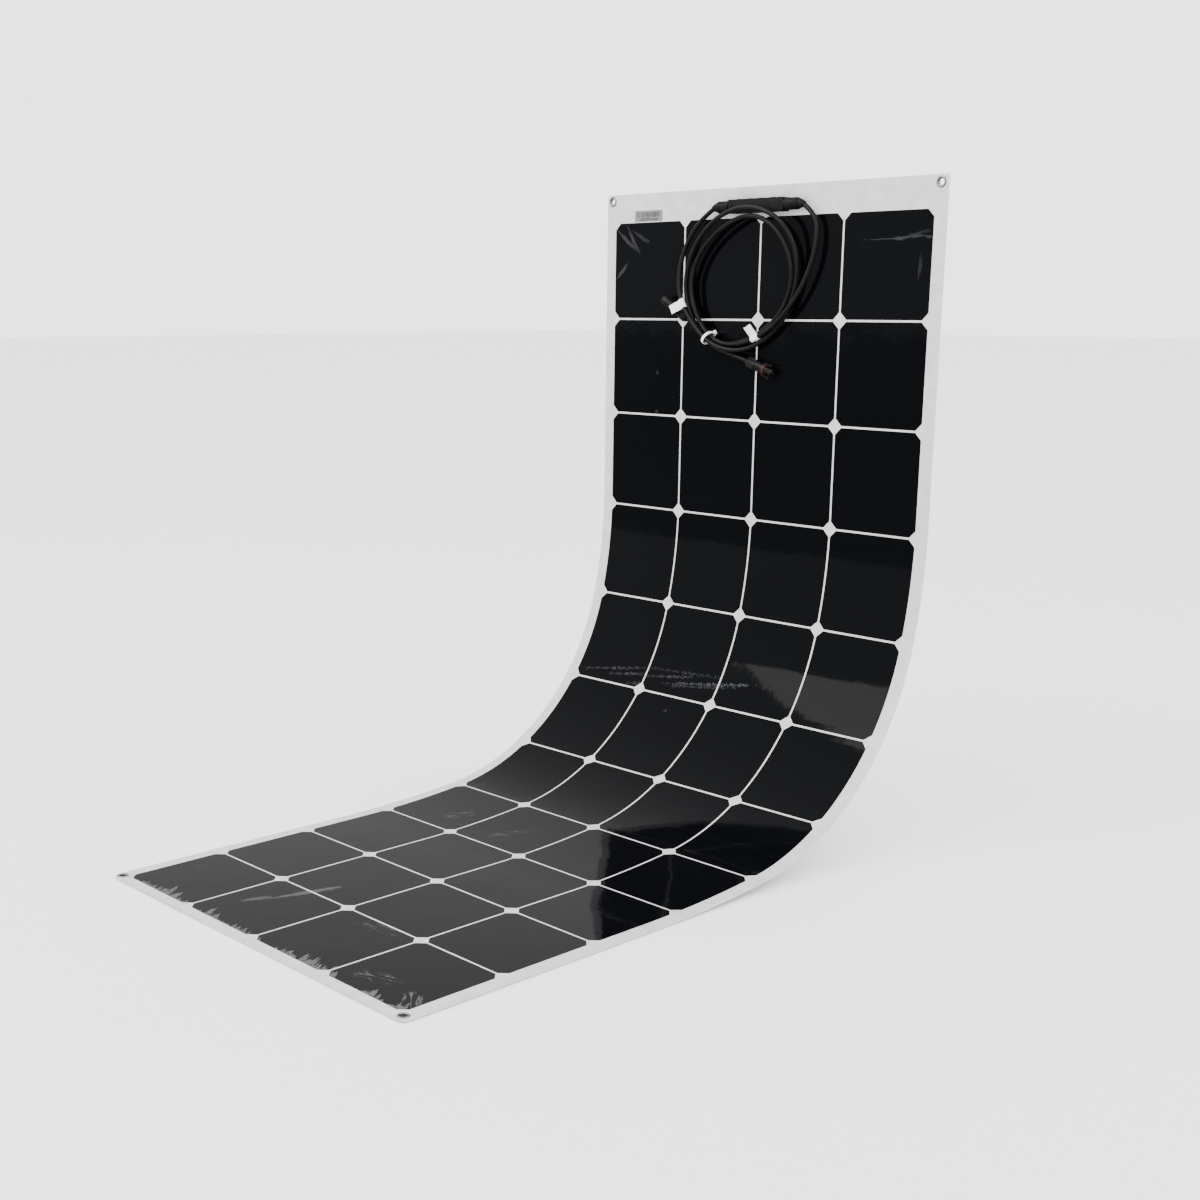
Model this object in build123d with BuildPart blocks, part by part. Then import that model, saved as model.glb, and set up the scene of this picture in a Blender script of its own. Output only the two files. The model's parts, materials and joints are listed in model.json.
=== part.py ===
"""Flexible solar sheet: a bendable laminate of back-contact cells, bent through a right angle.

Frame: millimetres, +X across the sheet, +Z up, -Y out of the cell side. The origin is midway
between the two top eyelets, on the back face. A distance "down the sheet" is measured along its
middle surface from the top edge, and a "rise" is measured from that surface towards the cells.
"""
from build123d import *
from math import cos, degrees, pi, radians, sin, tan
import os

os.makedirs("parts", exist_ok=True)

# ---- driving dimensions -------------------------------------------------------------------------
# cells and margins
CELL = 125.0
CELL_GAP = 2.5
CELL_CORNER = 8.6
COLUMNS = 4
ROWS = 11
SIDE_MARGIN = 16.25
TOP_MARGIN = 37.5
BOTTOM_MARGIN = 12.5
TOP_CORNER_RADIUS = 3.0
BOTTOM_CORNER_RADIUS = 9.0

# layers, from the back to the cell side
BACKSHEET = 1.3
ENCAPSULANT = 0.7
FILM = 0.5
CELL_THICKNESS = 0.2
RIBBON_THICKNESS = 0.1

# the bend: a straight top, an entry arc, the main arc, an exit arc, then a straight foot
STRAIGHT_TOP = 406.0
ENTRY_LENGTH, ENTRY_TURN = 140.0, 14.0
MAIN_LENGTH, MAIN_TURN = 384.0, 70.0
EXIT_LENGTH, EXIT_TURN = 172.0, 6.0
UPPER_ROWS = 3
LOWER_ROWS = 4
STRIP_GAP = 0.7
SHORTEST_FOOT = 1.0
NEARLY = 0.01

# ribbons that join the cells
JOINT_REACH = 6.0
JOINT_WIDTH = 112.0
BUS_WIDTH = 4.0
BUS_CLEARANCE = 1.0
BUS_TO_LEAD = 3.0

# eyelets
EYELET_BORE = 8.0
EYELET_WALL = 0.6
EYELET_FLANGE = 13.4
EYELET_FLANGE_THICKNESS = 0.9
EYELET_SIDE_INSET = 9.5
EYELET_END_INSET = 8.5
WASHER_THICKNESS = 0.5
EYELET_CURL = 0.35
HOLE_CLEARANCE = 0.05

# junction box
BOX_LENGTH = 88.0
BOX_WIDTH = 17.0
BOX_DEPTH = 14.0
BOX_DROP = 24.0
BOX_WALL = 1.4
BOX_CORNER = 2.0
ADHESIVE = 0.5
LID_LIP = 1.0
LID_FIT = 0.15
STEM_OUTER = 9.0
STEM_LENGTH = 12.0
NUT_OUTER = 15.0
NUT_LENGTH = 21.5
NUT_GAP = 0.3
NUT_FIT = 0.15
NUT_END = 3.5
NUT_RIBS = 12
NUT_RIB_DEPTH = 0.6
BUSH_LENGTH = 5.0
BOOT_ROOT = 12.0
BOOT_TIP = 8.4
BOOT_GAP = 0.3
BORE_FIT = 0.25
TERMINAL = (9.0, 1.6, 9.0)
TERMINAL_SPACING = 26.0
DIODE_BODY, DIODE_DIAMETER = 9.0, 5.0
DIODE_LEAD = 1.0
LEAD_THICKNESS = 0.3
SLOT_CLEARANCE = 0.4

# label on the white margin
LABEL = (50.0, 14.5)
LABEL_THICKNESS = 0.15
LABEL_CENTRE_X = -193.5
LABEL_CLEARANCE = 1.0

# cables, their ties and flags
CABLE = 6.0
CORNER_SHARE = 0.45
TIE_WIDTH = 3.6
TIE_THICKNESS = 1.0
TIE_HALF_ACROSS = 8.6
TIE_HALF_DEEP = 9.9
TIE_HEAD = (3.6, 4.8, 4.4)
TIE_HEAD_TURN = -40.0
TIE_CENTRE = (-72.9, -13.8, -178.1)
TIE_DIRECTION = (0.8, 0.0, -0.6)
FLAG_WRAP_FIT = 0.5
FLAG_THICKNESS = 0.5
FLAG_PLATE = 15.0
FLAG_WIDTH = 12.0
FLAG_LEFT_AT = 0.168
FLAG_RIGHT_AT = 0.247

# plug-in connectors, measured along each connector from the cable
CAP_LENGTH = 17.0
CAP_OUTER = 13.6
CAP_ENTRY = 9.0
CAP_ENTRY_LENGTH = 3.0
CAP_WALL = 1.6
CAP_RIBS = 8
CAP_RIB_DEPTH = 0.7
CAP_GAP = 0.3
THREAD_OUTER = 9.6
THREAD_LENGTH = 9.0
SHELL_LENGTH = 12.0
SHELL_OUTER = 13.2
SPIGOT_OUTER = 9.2
SPIGOT_LENGTH = 15.0
RING_SECTION = 1.8
LATCH_LENGTH = 13.0
LATCH_WIDTH = 4.0
LATCH_THICKNESS = 1.6
LATCH_GAP = 0.4
LATCH_HOOK = 1.0
NOTCH_DEPTH = 3.6
SOCKET_OUTER = 14.0
SOCKET_BORE = 11.0
SOCKET_LENGTH = 29.0
SOCKET_DEPTH = 18.0
PIN_DIAMETER = 4.0
PIN_RECESS = 7.0
CONTACT_BORE = 5.2
CONTACT_WALL = 0.5
CONTACT_RECESS = 1.0

# cable routes: hand-laid points of the centreline, from the box to the connector
LEFT_ROUTE = [
    (-72, -10.5, -17), (-90, -10.7, -27), (-112, -12, -51), (-124, -16, -86), (-122, -19, -126),
    (-92.6, -20.4, -163.8), (-57.4, -20.4, -190.2), (-10, -14, -195), (38, -9.5, -168),
    (64, -10, -124), (70, -14.5, -72), (46, -25, -30), (-6, -27, -14), (-62, -25, -30),
    (-104, -18, -70), (-118, -12.8, -118), (-95.6, -14.8, -166), (-60.4, -13.2, -191.4),
    (-33, -10.8, -198.5), (-9, -10.4, -206.5),
]
RIGHT_ROUTE = [
    (72, -10.5, -17), (87, -10.8, -26.5), (96.5, -12, -48), (91, -14, -88), (68, -16, -132),
    (30, -16.5, -168), (-13, -14.5, -185), (-55.2, -13.6, -186.7), (-90.6, -13.6, -160.2),
    (-107, -14.5, -115), (-93, -17, -74), (-54, -19, -41), (-4, -19, -23), (42, -18, -45),
    (63.5, -14, -92), (51, -9.5, -138), (10, -8, -174), (-52, -6.6, -190), (-95, -7.8, -166),
    (-113.6, -9.6, -154),
]

# ---- sizes that follow --------------------------------------------------------------------------
PITCH = CELL + CELL_GAP
WIDTH = COLUMNS * PITCH - CELL_GAP + 2 * SIDE_MARGIN
LENGTH = TOP_MARGIN + ROWS * PITCH - CELL_GAP + BOTTOM_MARGIN
THICKNESS = BACKSHEET + ENCAPSULANT + FILM
BACK = -THICKNESS / 2
FRONT = THICKNESS / 2
FILM_BACK = FRONT - FILM
CELL_BACK = FILM_BACK - CELL_THICKNESS
RIBBON_BACK = CELL_BACK - RIBBON_THICKNESS
ENCAPSULANT_BACK = BACK + BACKSHEET
FRONT_Y = -THICKNESS
BOX_BACK_Y = FRONT_Y - ADHESIVE
BOX_FRONT_Y = FRONT_Y - BOX_DEPTH
BOX_Z = EYELET_END_INSET - BOX_DROP
GLAND_Y = LEFT_ROUTE[0][1]
CUT = 2 * THICKNESS
SEGMENTS = [
    (STRAIGHT_TOP, 0.0),
    (ENTRY_LENGTH, ENTRY_TURN),
    (MAIN_LENGTH, MAIN_TURN),
    (EXIT_LENGTH, EXIT_TURN),
    (max(LENGTH - STRAIGHT_TOP - ENTRY_LENGTH - MAIN_LENGTH - EXIT_LENGTH, SHORTEST_FOOT), 0.0),
]


# ---- the bent middle surface --------------------------------------------------------------------
def station(down, rise=0.0):
    """Point (y, z) and slope in degrees, down the sheet and raised towards the cells."""
    y, z, slope, left = BACK, EYELET_END_INSET, 0.0, down
    for length, turn in SEGMENTS:
        step = min(left, length)
        if turn:
            radius = length / radians(turn)
            after = slope + degrees(step / radius)
            y += radius * (cos(radians(after)) - cos(radians(slope)))
            z -= radius * (sin(radians(after)) - sin(radians(slope)))
            slope = after
        else:
            y -= step * sin(radians(slope))
            z -= step * cos(radians(slope))
        left -= step
        if left <= 0:
            break
    return y - rise * cos(radians(slope)), z + rise * sin(radians(slope)), slope


def sheet_plane(down, rise=0.0):
    """Plane touching the sheet: its X runs across, its Y up the sheet, its Z out of the cells."""
    y, z, slope = station(down, rise)
    out = (0, -cos(radians(slope)), sin(radians(slope)))
    return Plane(origin=(0, y, z), x_dir=(1, 0, 0), z_dir=out)


def joints_between(start, end):
    """Places down the sheet where one stretch of the bend gives way to the next."""
    places, total = [start], 0.0
    for length, _ in SEGMENTS:
        total += length
        if start + NEARLY < total < end - NEARLY:
            places.append(total)
    return places + [end]


def edge_points(start, end, rise):
    """Ends and middle of each stretch of the bend between two places, at one rise."""
    places = joints_between(start, end)
    runs = []
    for first, last in zip(places, places[1:]):
        runs.append([station(d, rise)[:2] for d in (first, (first + last) / 2, last)])
        runs[-1].append(abs(station(first)[2] - station(last)[2]) > NEARLY)
    return runs


def band(start, end, low, high, left, right):
    """Slab that follows the bend, between two rises and two places across; joins the part."""
    with BuildSketch(Plane.YZ.offset(left)) as outline:
        with BuildLine():
            for rise in (low, high):
                for first, middle, last, curved in edge_points(start, end, rise):
                    if curved:
                        ThreePointArc(first, middle, last)
                    else:
                        Line(first, last)
            for place in (start, end):
                Line(station(place, low)[:2], station(place, high)[:2])
        make_face()
    extrude(outline.sketch, amount=right - left)


def row_top(row):
    """Top edge of a row of cells; rows count from 1."""
    return TOP_MARGIN + (row - 1) * PITCH


def gap_line(row):
    """Middle of the gap below a row of cells."""
    return TOP_MARGIN + row * PITCH - CELL_GAP / 2


def column_x(column):
    """Middle of a column of cells; columns count from 0."""
    return (column - (COLUMNS - 1) / 2) * PITCH


class Strip:
    """One stiff stretch of the sheet between two bend lines."""

    def __init__(self, name, first_row, last_row):
        self.name = name
        self.first_row = first_row
        self.last_row = last_row
        self.start = 0.0 if first_row == 1 else gap_line(first_row - 1) + STRIP_GAP / 2
        self.end = LENGTH if last_row == ROWS else gap_line(last_row) - STRIP_GAP / 2


STRIPS = [Strip("upper", 1, UPPER_ROWS)]
for number in range(UPPER_ROWS + 1, ROWS - LOWER_ROWS + 1):
    STRIPS.append(Strip(f"row_{number}", number, number))
STRIPS.append(Strip("lower", ROWS - LOWER_ROWS + 1, ROWS))

EYELET_X = WIDTH / 2 - EYELET_SIDE_INSET
EYELET_TOP = EYELET_END_INSET
EYELET_BOTTOM = LENGTH - EYELET_END_INSET


def trim_outline(strip):
    """Round the outer corners and punch the eyelet holes of a layer's end strip."""
    if strip.first_row == 1:
        corners = edges().filter_by(Axis.Y).group_by(Axis.Z)[-1]
        fillet(corners, TOP_CORNER_RADIUS)
        punch(EYELET_TOP)
    if strip.last_row == ROWS:
        corners = edges().filter_by(Axis.Z).group_by(Axis.Y)[0]
        fillet(corners, BOTTOM_CORNER_RADIUS)
        punch(EYELET_BOTTOM)


def punch(place):
    """Two eyelet holes through the layer being made."""
    with BuildSketch(sheet_plane(place)) as holes:
        with Locations((-EYELET_X, 0), (EYELET_X, 0)):
            Circle(EYELET_BORE / 2 + EYELET_WALL + HOLE_CLEARANCE)
    extrude(holes.sketch, amount=CUT, both=True, mode=Mode.SUBTRACT)


def save(piece, name):
    """Label one finished piece and write it out."""
    piece.label = name
    export_step(piece, f"parts/{name}.step")


# ---- laminate -----------------------------------------------------------------------------------
def make_cells(strip):
    """Cells of one strip: squares with their corners cut off, following the bend."""
    with BuildPart() as cells:
        for row in range(strip.first_row, strip.last_row + 1):
            for column in range(COLUMNS):
                left = column_x(column) - CELL / 2
                band(row_top(row), row_top(row) + CELL, CELL_BACK, FILM_BACK, left, left + CELL)
        for row in range(strip.first_row - 1, strip.last_row + 1):
            with BuildSketch(sheet_plane(gap_line(row), FILM_BACK)):
                with GridLocations(PITCH, PITCH, COLUMNS + 1, 1):
                    RegularPolygon(CELL_CORNER + CELL_GAP, 4)
            extrude(amount=CUT, both=True, mode=Mode.SUBTRACT)
    return cells


BUS_TOP_END = gap_line(0)
BUS_TOP_START = BUS_TOP_END - BUS_WIDTH
BUS_BOTTOM_START = gap_line(ROWS)
LEAD_DOWN = BOX_DROP + BUS_TO_LEAD
LEAD_TOP = LEAD_DOWN - BUS_WIDTH / 2


def flat_ribbon(start, end, left, right):
    """One stretch of copper ribbon between two places down the sheet and across it."""
    band(start, end, RIBBON_BACK, CELL_BACK, min(left, right), max(left, right))


def add_top_bus():
    """Ribbons above the first row: the outer columns run in to the box, the inner two are joined."""
    reach = column_x(COLUMNS - 1) + JOINT_WIDTH / 2
    gap = column_x(COLUMNS - 1) - JOINT_WIDTH / 2 - BUS_CLEARANCE
    riser = BUS_TOP_START - BUS_CLEARANCE - BUS_WIDTH
    for side in (-1, 1):
        stub = side * TERMINAL_SPACING
        flat_ribbon(BUS_TOP_START, BUS_TOP_END, side * gap, side * reach)
        flat_ribbon(riser, BUS_TOP_START - BUS_CLEARANCE, stub, side * reach)
        flat_ribbon(riser, BUS_TOP_END, side * gap, side * (gap + BUS_WIDTH))
        flat_ribbon(LEAD_TOP, riser + BUS_WIDTH, stub, stub + side * BUS_WIDTH)
    inner = gap - 2 * BUS_CLEARANCE
    flat_ribbon(BUS_TOP_START, BUS_TOP_END, -inner, inner)
    flat_ribbon(LEAD_TOP, BUS_TOP_END, -BUS_WIDTH / 2, BUS_WIDTH / 2)


def add_bottom_bus():
    """Ribbons below the last row, each joining two columns."""
    for side in (-1, 1):
        left = side * PITCH - PITCH / 2 - JOINT_WIDTH / 2
        right = side * PITCH + PITCH / 2 + JOINT_WIDTH / 2
        flat_ribbon(BUS_BOTTOM_START, BUS_BOTTOM_START + BUS_WIDTH, left, right)


def make_joints(strip):
    """Copper under the cells' ends, which joins each column in series, and the bus ribbons."""
    with BuildPart() as joints:
        for row in range(strip.first_row - 1, strip.last_row + 1):
            above = row >= strip.first_row
            below = row < strip.last_row
            start = gap_line(row) - CELL_GAP / 2 - JOINT_REACH if above else gap_line(row)
            end = gap_line(row) + CELL_GAP / 2 + JOINT_REACH if below else gap_line(row)
            start = max(start, strip.start)
            end = min(end, strip.end)
            for column in range(COLUMNS):
                middle = column_x(column)
                flat_ribbon(start, end, middle - JOINT_WIDTH / 2, middle + JOINT_WIDTH / 2)
        if strip.first_row == 1:
            add_top_bus()
        if strip.last_row == ROWS:
            add_bottom_bus()
    return joints


LEAD_CENTRES = [
    -TERMINAL_SPACING - BUS_WIDTH / 2,
    0.0,
    TERMINAL_SPACING + BUS_WIDTH / 2,
]

for strip in STRIPS:
    with BuildPart() as backsheet:
        band(strip.start, strip.end, BACK, ENCAPSULANT_BACK, -WIDTH / 2, WIDTH / 2)
        trim_outline(strip)
    save(backsheet.part, f"backsheet_{strip.name}")

    cell_group = make_cells(strip)
    save(cell_group.part, f"cells_{strip.name}")
    joint_group = make_joints(strip)
    save(joint_group.part, f"cell_joints_{strip.name}")

    with BuildPart() as encapsulant:
        band(strip.start, strip.end, ENCAPSULANT_BACK, FILM_BACK, -WIDTH / 2, WIDTH / 2)
        trim_outline(strip)
        add(cell_group.part, mode=Mode.SUBTRACT)
        add(joint_group.part, mode=Mode.SUBTRACT)
        if strip.first_row == 1:
            with BuildSketch(sheet_plane(LEAD_DOWN, CELL_BACK)):
                with Locations([(x, 0) for x in LEAD_CENTRES]):
                    Rectangle(BUS_WIDTH + SLOT_CLEARANCE, BUS_WIDTH / 2 + SLOT_CLEARANCE)
            extrude(amount=CUT, mode=Mode.SUBTRACT)
    save(encapsulant.part, f"encapsulant_{strip.name}")

    with BuildPart() as film:
        band(strip.start, strip.end, FILM_BACK, FRONT, -WIDTH / 2, WIDTH / 2)
        trim_outline(strip)
        if strip.first_row == 1:
            with BuildSketch(sheet_plane(LEAD_DOWN, CELL_BACK)):
                with Locations([(x, 0) for x in LEAD_CENTRES]):
                    Rectangle(BUS_WIDTH + SLOT_CLEARANCE, BUS_WIDTH / 2 + SLOT_CLEARANCE)
            extrude(amount=CUT, mode=Mode.SUBTRACT)
    save(film.part, f"front_film_{strip.name}")


# ---- eyelets ------------------------------------------------------------------------------------
def make_eyelets(place, name):
    """Two eyelets through the sheet, flanged on the cell side, with a washer behind each."""
    barrel = EYELET_BORE / 2 + EYELET_WALL
    flange_top = FRONT + EYELET_FLANGE_THICKNESS
    barrel_end = BACK - WASHER_THICKNESS - EYELET_CURL
    out = Axis((0, 0, 0), sheet_plane(place).z_dir)
    with BuildPart() as eyelets:
        with BuildSketch(sheet_plane(place, FRONT)):
            with Locations((-EYELET_X, 0), (EYELET_X, 0)):
                Circle(EYELET_FLANGE / 2)
        extrude(amount=EYELET_FLANGE_THICKNESS)
        fillet(faces().group_by(out)[-1].edges(), EYELET_FLANGE_THICKNESS / 2)
        with BuildSketch(sheet_plane(place, barrel_end)):
            with Locations((-EYELET_X, 0), (EYELET_X, 0)):
                Circle(barrel)
        extrude(amount=FRONT - barrel_end)
        with BuildSketch(sheet_plane(place, barrel_end)):
            with Locations((-EYELET_X, 0), (EYELET_X, 0)):
                Circle(barrel + EYELET_CURL)
        extrude(amount=EYELET_CURL)
        with BuildSketch(sheet_plane(place, barrel_end)):
            with Locations((-EYELET_X, 0), (EYELET_X, 0)):
                Circle(EYELET_BORE / 2)
        extrude(amount=flange_top - barrel_end, mode=Mode.SUBTRACT)
    save(eyelets.part, f"eyelets_{name}")
    with BuildPart() as washers:
        with BuildSketch(sheet_plane(place, BACK)):
            with Locations((-EYELET_X, 0), (EYELET_X, 0)):
                Circle(EYELET_FLANGE / 2)
                Circle(barrel + HOLE_CLEARANCE, mode=Mode.SUBTRACT)
        extrude(amount=-WASHER_THICKNESS)
    save(washers.part, f"eyelet_washers_{name}")


make_eyelets(EYELET_TOP, "top")
make_eyelets(EYELET_BOTTOM, "bottom")

# ---- label on the margin ------------------------------------------------------------------------
label_z = EYELET_END_INSET - TOP_MARGIN + LABEL_CLEARANCE + LABEL[1] / 2
with BuildPart() as label:
    with BuildSketch(Plane.XZ.offset(-FRONT_Y)):
        with Locations((LABEL_CENTRE_X, label_z)):
            Rectangle(*LABEL)
    extrude(amount=LABEL_THICKNESS)
save(label.part, "margin_label")

# ---- junction box -------------------------------------------------------------------------------
BOX_FLOOR_Y = BOX_BACK_Y - BOX_WALL
LID_BACK_Y = BOX_FRONT_Y + BOX_WALL
HALF_BOX = BOX_LENGTH / 2
BORE = CABLE / 2 + BORE_FIT


def front_plane(y):
    """Plane facing out of the cell side at one depth; sketch axes are X and Z."""
    return Plane(origin=(0, y, 0), x_dir=(1, 0, 0), z_dir=(0, -1, 0))


def side_plane(x, side):
    """Plane facing outwards from the box's end, centred on the gland's axis."""
    return Plane(origin=(side * x, GLAND_Y, BOX_Z), x_dir=(0, 0, 1), z_dir=(side, 0, 0))


with BuildPart() as pad:
    with BuildSketch(front_plane(FRONT_Y)):
        with Locations((0, BOX_Z)):
            RectangleRounded(BOX_LENGTH - 2 * BOX_WALL, BOX_WIDTH - 2 * BOX_WALL, BOX_CORNER)
        with Locations([(x, EYELET_END_INSET - LEAD_DOWN) for x in LEAD_CENTRES]):
            Rectangle(BUS_WIDTH + SLOT_CLEARANCE, BUS_WIDTH / 2 + SLOT_CLEARANCE, mode=Mode.SUBTRACT)
    extrude(amount=ADHESIVE)
save(pad.part, "box_adhesive")

with BuildPart() as base:
    with BuildSketch(front_plane(BOX_BACK_Y)):
        with Locations((0, BOX_Z)):
            RectangleRounded(BOX_LENGTH, BOX_WIDTH, BOX_CORNER)
    extrude(amount=BOX_BACK_Y - LID_BACK_Y)
    with BuildSketch(front_plane(BOX_FLOOR_Y)):
        with Locations((0, BOX_Z)):
            Rectangle(BOX_LENGTH - 2 * BOX_WALL, BOX_WIDTH - 2 * BOX_WALL)
    extrude(amount=BOX_DEPTH, mode=Mode.SUBTRACT)
    with BuildSketch(front_plane(BOX_BACK_Y)):
        with Locations([(x, EYELET_END_INSET - LEAD_DOWN) for x in LEAD_CENTRES]):
            Rectangle(BUS_WIDTH + SLOT_CLEARANCE, BUS_WIDTH / 2 + SLOT_CLEARANCE)
    extrude(amount=BOX_WALL, mode=Mode.SUBTRACT)
    for side in (-1, 1):
        with BuildSketch(side_plane(HALF_BOX - BOX_WALL, side)):
            Circle(STEM_OUTER / 2)
        extrude(amount=BOX_WALL + STEM_LENGTH)
        with BuildSketch(side_plane(HALF_BOX - BOX_WALL, side)):
            Circle(BORE)
        extrude(amount=BOX_WALL + STEM_LENGTH, mode=Mode.SUBTRACT)
save(base.part, "box_base")

with BuildPart() as lid:
    with BuildSketch(front_plane(LID_BACK_Y)):
        with Locations((0, BOX_Z)):
            RectangleRounded(BOX_LENGTH, BOX_WIDTH, BOX_CORNER)
    extrude(amount=BOX_WALL)
    chamfer(faces().sort_by(Axis.Y)[0].edges(), BOX_WALL / 2)
    with BuildSketch(front_plane(LID_BACK_Y)):
        with Locations((0, BOX_Z)):
            lip_length = BOX_LENGTH - 2 * (BOX_WALL + LID_FIT)
            lip_width = BOX_WIDTH - 2 * (BOX_WALL + LID_FIT)
            Rectangle(lip_length, lip_width)
            Rectangle(lip_length - 2 * LID_LIP, lip_width - 2 * LID_LIP, mode=Mode.SUBTRACT)
    extrude(amount=-LID_LIP)
save(lid.part, "box_lid")

terminal_y = BOX_FLOOR_Y - TERMINAL[1]
with BuildPart() as terminals:
    with BuildSketch(front_plane(BOX_FLOOR_Y)):
        with Locations([(x, BOX_Z) for x in LEAD_CENTRES]):
            Rectangle(TERMINAL[0], TERMINAL[2])
    extrude(amount=TERMINAL[1])
    with BuildSketch(front_plane(BACK - CELL_BACK)):
        with Locations([(x, EYELET_END_INSET - LEAD_DOWN) for x in LEAD_CENTRES]):
            Rectangle(BUS_WIDTH, LEAD_THICKNESS)
    extrude(amount=BACK - CELL_BACK - BOX_FLOOR_Y)
save(terminals.part, "box_terminals")

diode_y = terminal_y - DIODE_DIAMETER / 2
with BuildPart() as diodes:
    for side in (-1, 1):
        middle = (LEAD_CENTRES[1 + side] + LEAD_CENTRES[1]) / 2
        lead_half = abs(LEAD_CENTRES[1 + side]) / 2 - DIODE_LEAD
        with BuildSketch(Plane(origin=(middle - DIODE_BODY / 2, diode_y, BOX_Z), z_dir=(1, 0, 0))):
            Circle(DIODE_DIAMETER / 2)
        extrude(amount=DIODE_BODY)
        with BuildSketch(Plane(origin=(middle - lead_half, diode_y, BOX_Z), z_dir=(1, 0, 0))):
            Circle(DIODE_LEAD / 2)
        extrude(amount=2 * lead_half)
save(diodes.part, "bypass_diodes")


def rib_ring(plane, outer, depth, count, length):
    """Grooves that leave a ring of grip ribs round a nut; cuts the part being made."""
    groove = pi * outer / count / 4
    with BuildSketch(plane) as grooves:
        with PolarLocations(outer / 2, count):
            Circle(min(groove, depth))
    extrude(grooves.sketch, amount=length, mode=Mode.SUBTRACT)


nut_start = HALF_BOX + NUT_GAP
nut_end = nut_start + NUT_LENGTH
for side, name, route in ((-1, "left", LEFT_ROUTE), (1, "right", RIGHT_ROUTE)):
    with BuildPart() as nut:
        with BuildSketch(side_plane(nut_start, side)):
            Circle(NUT_OUTER / 2)
        extrude(amount=NUT_LENGTH)
        chamfer(edges().filter_by(GeomType.CIRCLE), NUT_RIB_DEPTH)
        rib_ring(side_plane(nut_start, side), NUT_OUTER, NUT_RIB_DEPTH, NUT_RIBS, NUT_LENGTH)
        with BuildSketch(side_plane(nut_start, side)):
            Circle(STEM_OUTER / 2 + NUT_FIT)
        extrude(amount=NUT_LENGTH - NUT_END, mode=Mode.SUBTRACT)
        with BuildSketch(side_plane(nut_start, side)):
            Circle(BORE)
        extrude(amount=NUT_LENGTH, mode=Mode.SUBTRACT)
    save(nut.part, f"gland_nut_{name}")

    boot_start = nut_end + BOOT_GAP
    exit_way = (Vector(route[1]) - Vector(route[0])).normalized()
    with BuildPart() as boot:
        with BuildSketch(side_plane(boot_start, side)):
            Circle(BOOT_ROOT / 2)
        with BuildSketch(Plane(origin=route[0], z_dir=exit_way)):
            Circle(BOOT_TIP / 2)
        loft()
    save(boot.part, f"gland_boot_{name}")

with BuildPart() as bushes:
    for side in (-1, 1):
        with BuildSketch(side_plane(HALF_BOX + STEM_LENGTH, side)):
            Circle(STEM_OUTER / 2)
            Circle(CABLE / 2, mode=Mode.SUBTRACT)
        extrude(amount=BUSH_LENGTH)
save(bushes.part, "gland_bushes")

with BuildPart() as tails:
    for side in (-1, 1):
        start = HALF_BOX - BOX_WALL
        with BuildSketch(side_plane(start, side)):
            Circle(CABLE / 2)
        extrude(amount=nut_end + BOOT_GAP - start)
save(tails.part, "cable_tails")


# ---- cables -------------------------------------------------------------------------------------
def corner_radii(points):
    """Radius of each corner of a route, so that its arc takes up a share of the shorter run."""
    spots = [Vector(p) for p in points]
    radii = []
    for before, here, after in zip(spots, spots[1:], spots[2:]):
        turn = (here - before).get_angle(after - here)
        shorter = min((here - before).length, (after - here).length)
        radii.append(CORNER_SHARE * shorter / tan(radians(turn) / 2))
    return radii


CABLE_PATHS = {}
for name, route in (("left", LEFT_ROUTE), ("right", RIGHT_ROUTE)):
    radii = corner_radii(route)
    with BuildPart() as cable:
        with BuildLine() as path:
            FilletPolyline(*route, radius=radii)
        centreline = path.wire()
        with BuildSketch(Plane(origin=centreline @ 0, z_dir=centreline % 0)):
            Circle(CABLE / 2)
        sweep()
    save(cable.part, f"cable_{name}")
    CABLE_PATHS[name] = centreline
    expected = pi * (CABLE / 2) ** 2 * centreline.length
    print(f"cable_{name}: length {centreline.length:.1f}, volume {cable.part.volume:.0f}",
          f"of {expected:.0f}, radii {[round(r) for r in radii]}")

# ---- cable tie and flags ------------------------------------------------------------------------
tie_across = Vector(*TIE_DIRECTION).cross(Vector(0, 1, 0))
tie_plane = Plane(origin=TIE_CENTRE, x_dir=tie_across, z_dir=TIE_DIRECTION)
with BuildPart() as tie:
    with BuildSketch(tie_plane.offset(-TIE_WIDTH / 2)):
        Ellipse(TIE_HALF_ACROSS + TIE_THICKNESS, TIE_HALF_DEEP + TIE_THICKNESS)
        Ellipse(TIE_HALF_ACROSS, TIE_HALF_DEEP, mode=Mode.SUBTRACT)
    extrude(amount=TIE_WIDTH)
    with BuildSketch(tie_plane.offset(-TIE_HEAD[1] / 2)):
        head_out = TIE_HALF_ACROSS * cos(radians(TIE_HEAD_TURN)), TIE_HALF_DEEP * sin(radians(TIE_HEAD_TURN))
        with Locations(Location((*head_out, 0), (0, 0, TIE_HEAD_TURN))):
            with Locations((TIE_HEAD[0] / 2 + TIE_THICKNESS / 2, 0)):
                Rectangle(TIE_HEAD[0], TIE_HEAD[2])
    extrude(amount=TIE_HEAD[1])
save(tie.part, "cable_tie")


def make_flag(name, path, share, outward):
    """Paper flag: a band round the cable, with its two ends stuck together as a plate."""
    wrap = CABLE / 2 + FLAG_WRAP_FIT
    way = path % share
    side = Vector(*outward)
    side = (side - way * side.dot(way)).normalized()
    spot = Plane(origin=path @ share, x_dir=side, z_dir=way).offset(-FLAG_WIDTH / 2)
    with BuildPart() as flag:
        with BuildSketch(spot):
            Circle(wrap + FLAG_THICKNESS)
            with Locations((wrap + FLAG_PLATE / 2, 0)):
                Rectangle(FLAG_PLATE, 2 * FLAG_THICKNESS)
            Circle(wrap, mode=Mode.SUBTRACT)
        extrude(amount=FLAG_WIDTH)
    save(flag.part, name)


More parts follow.
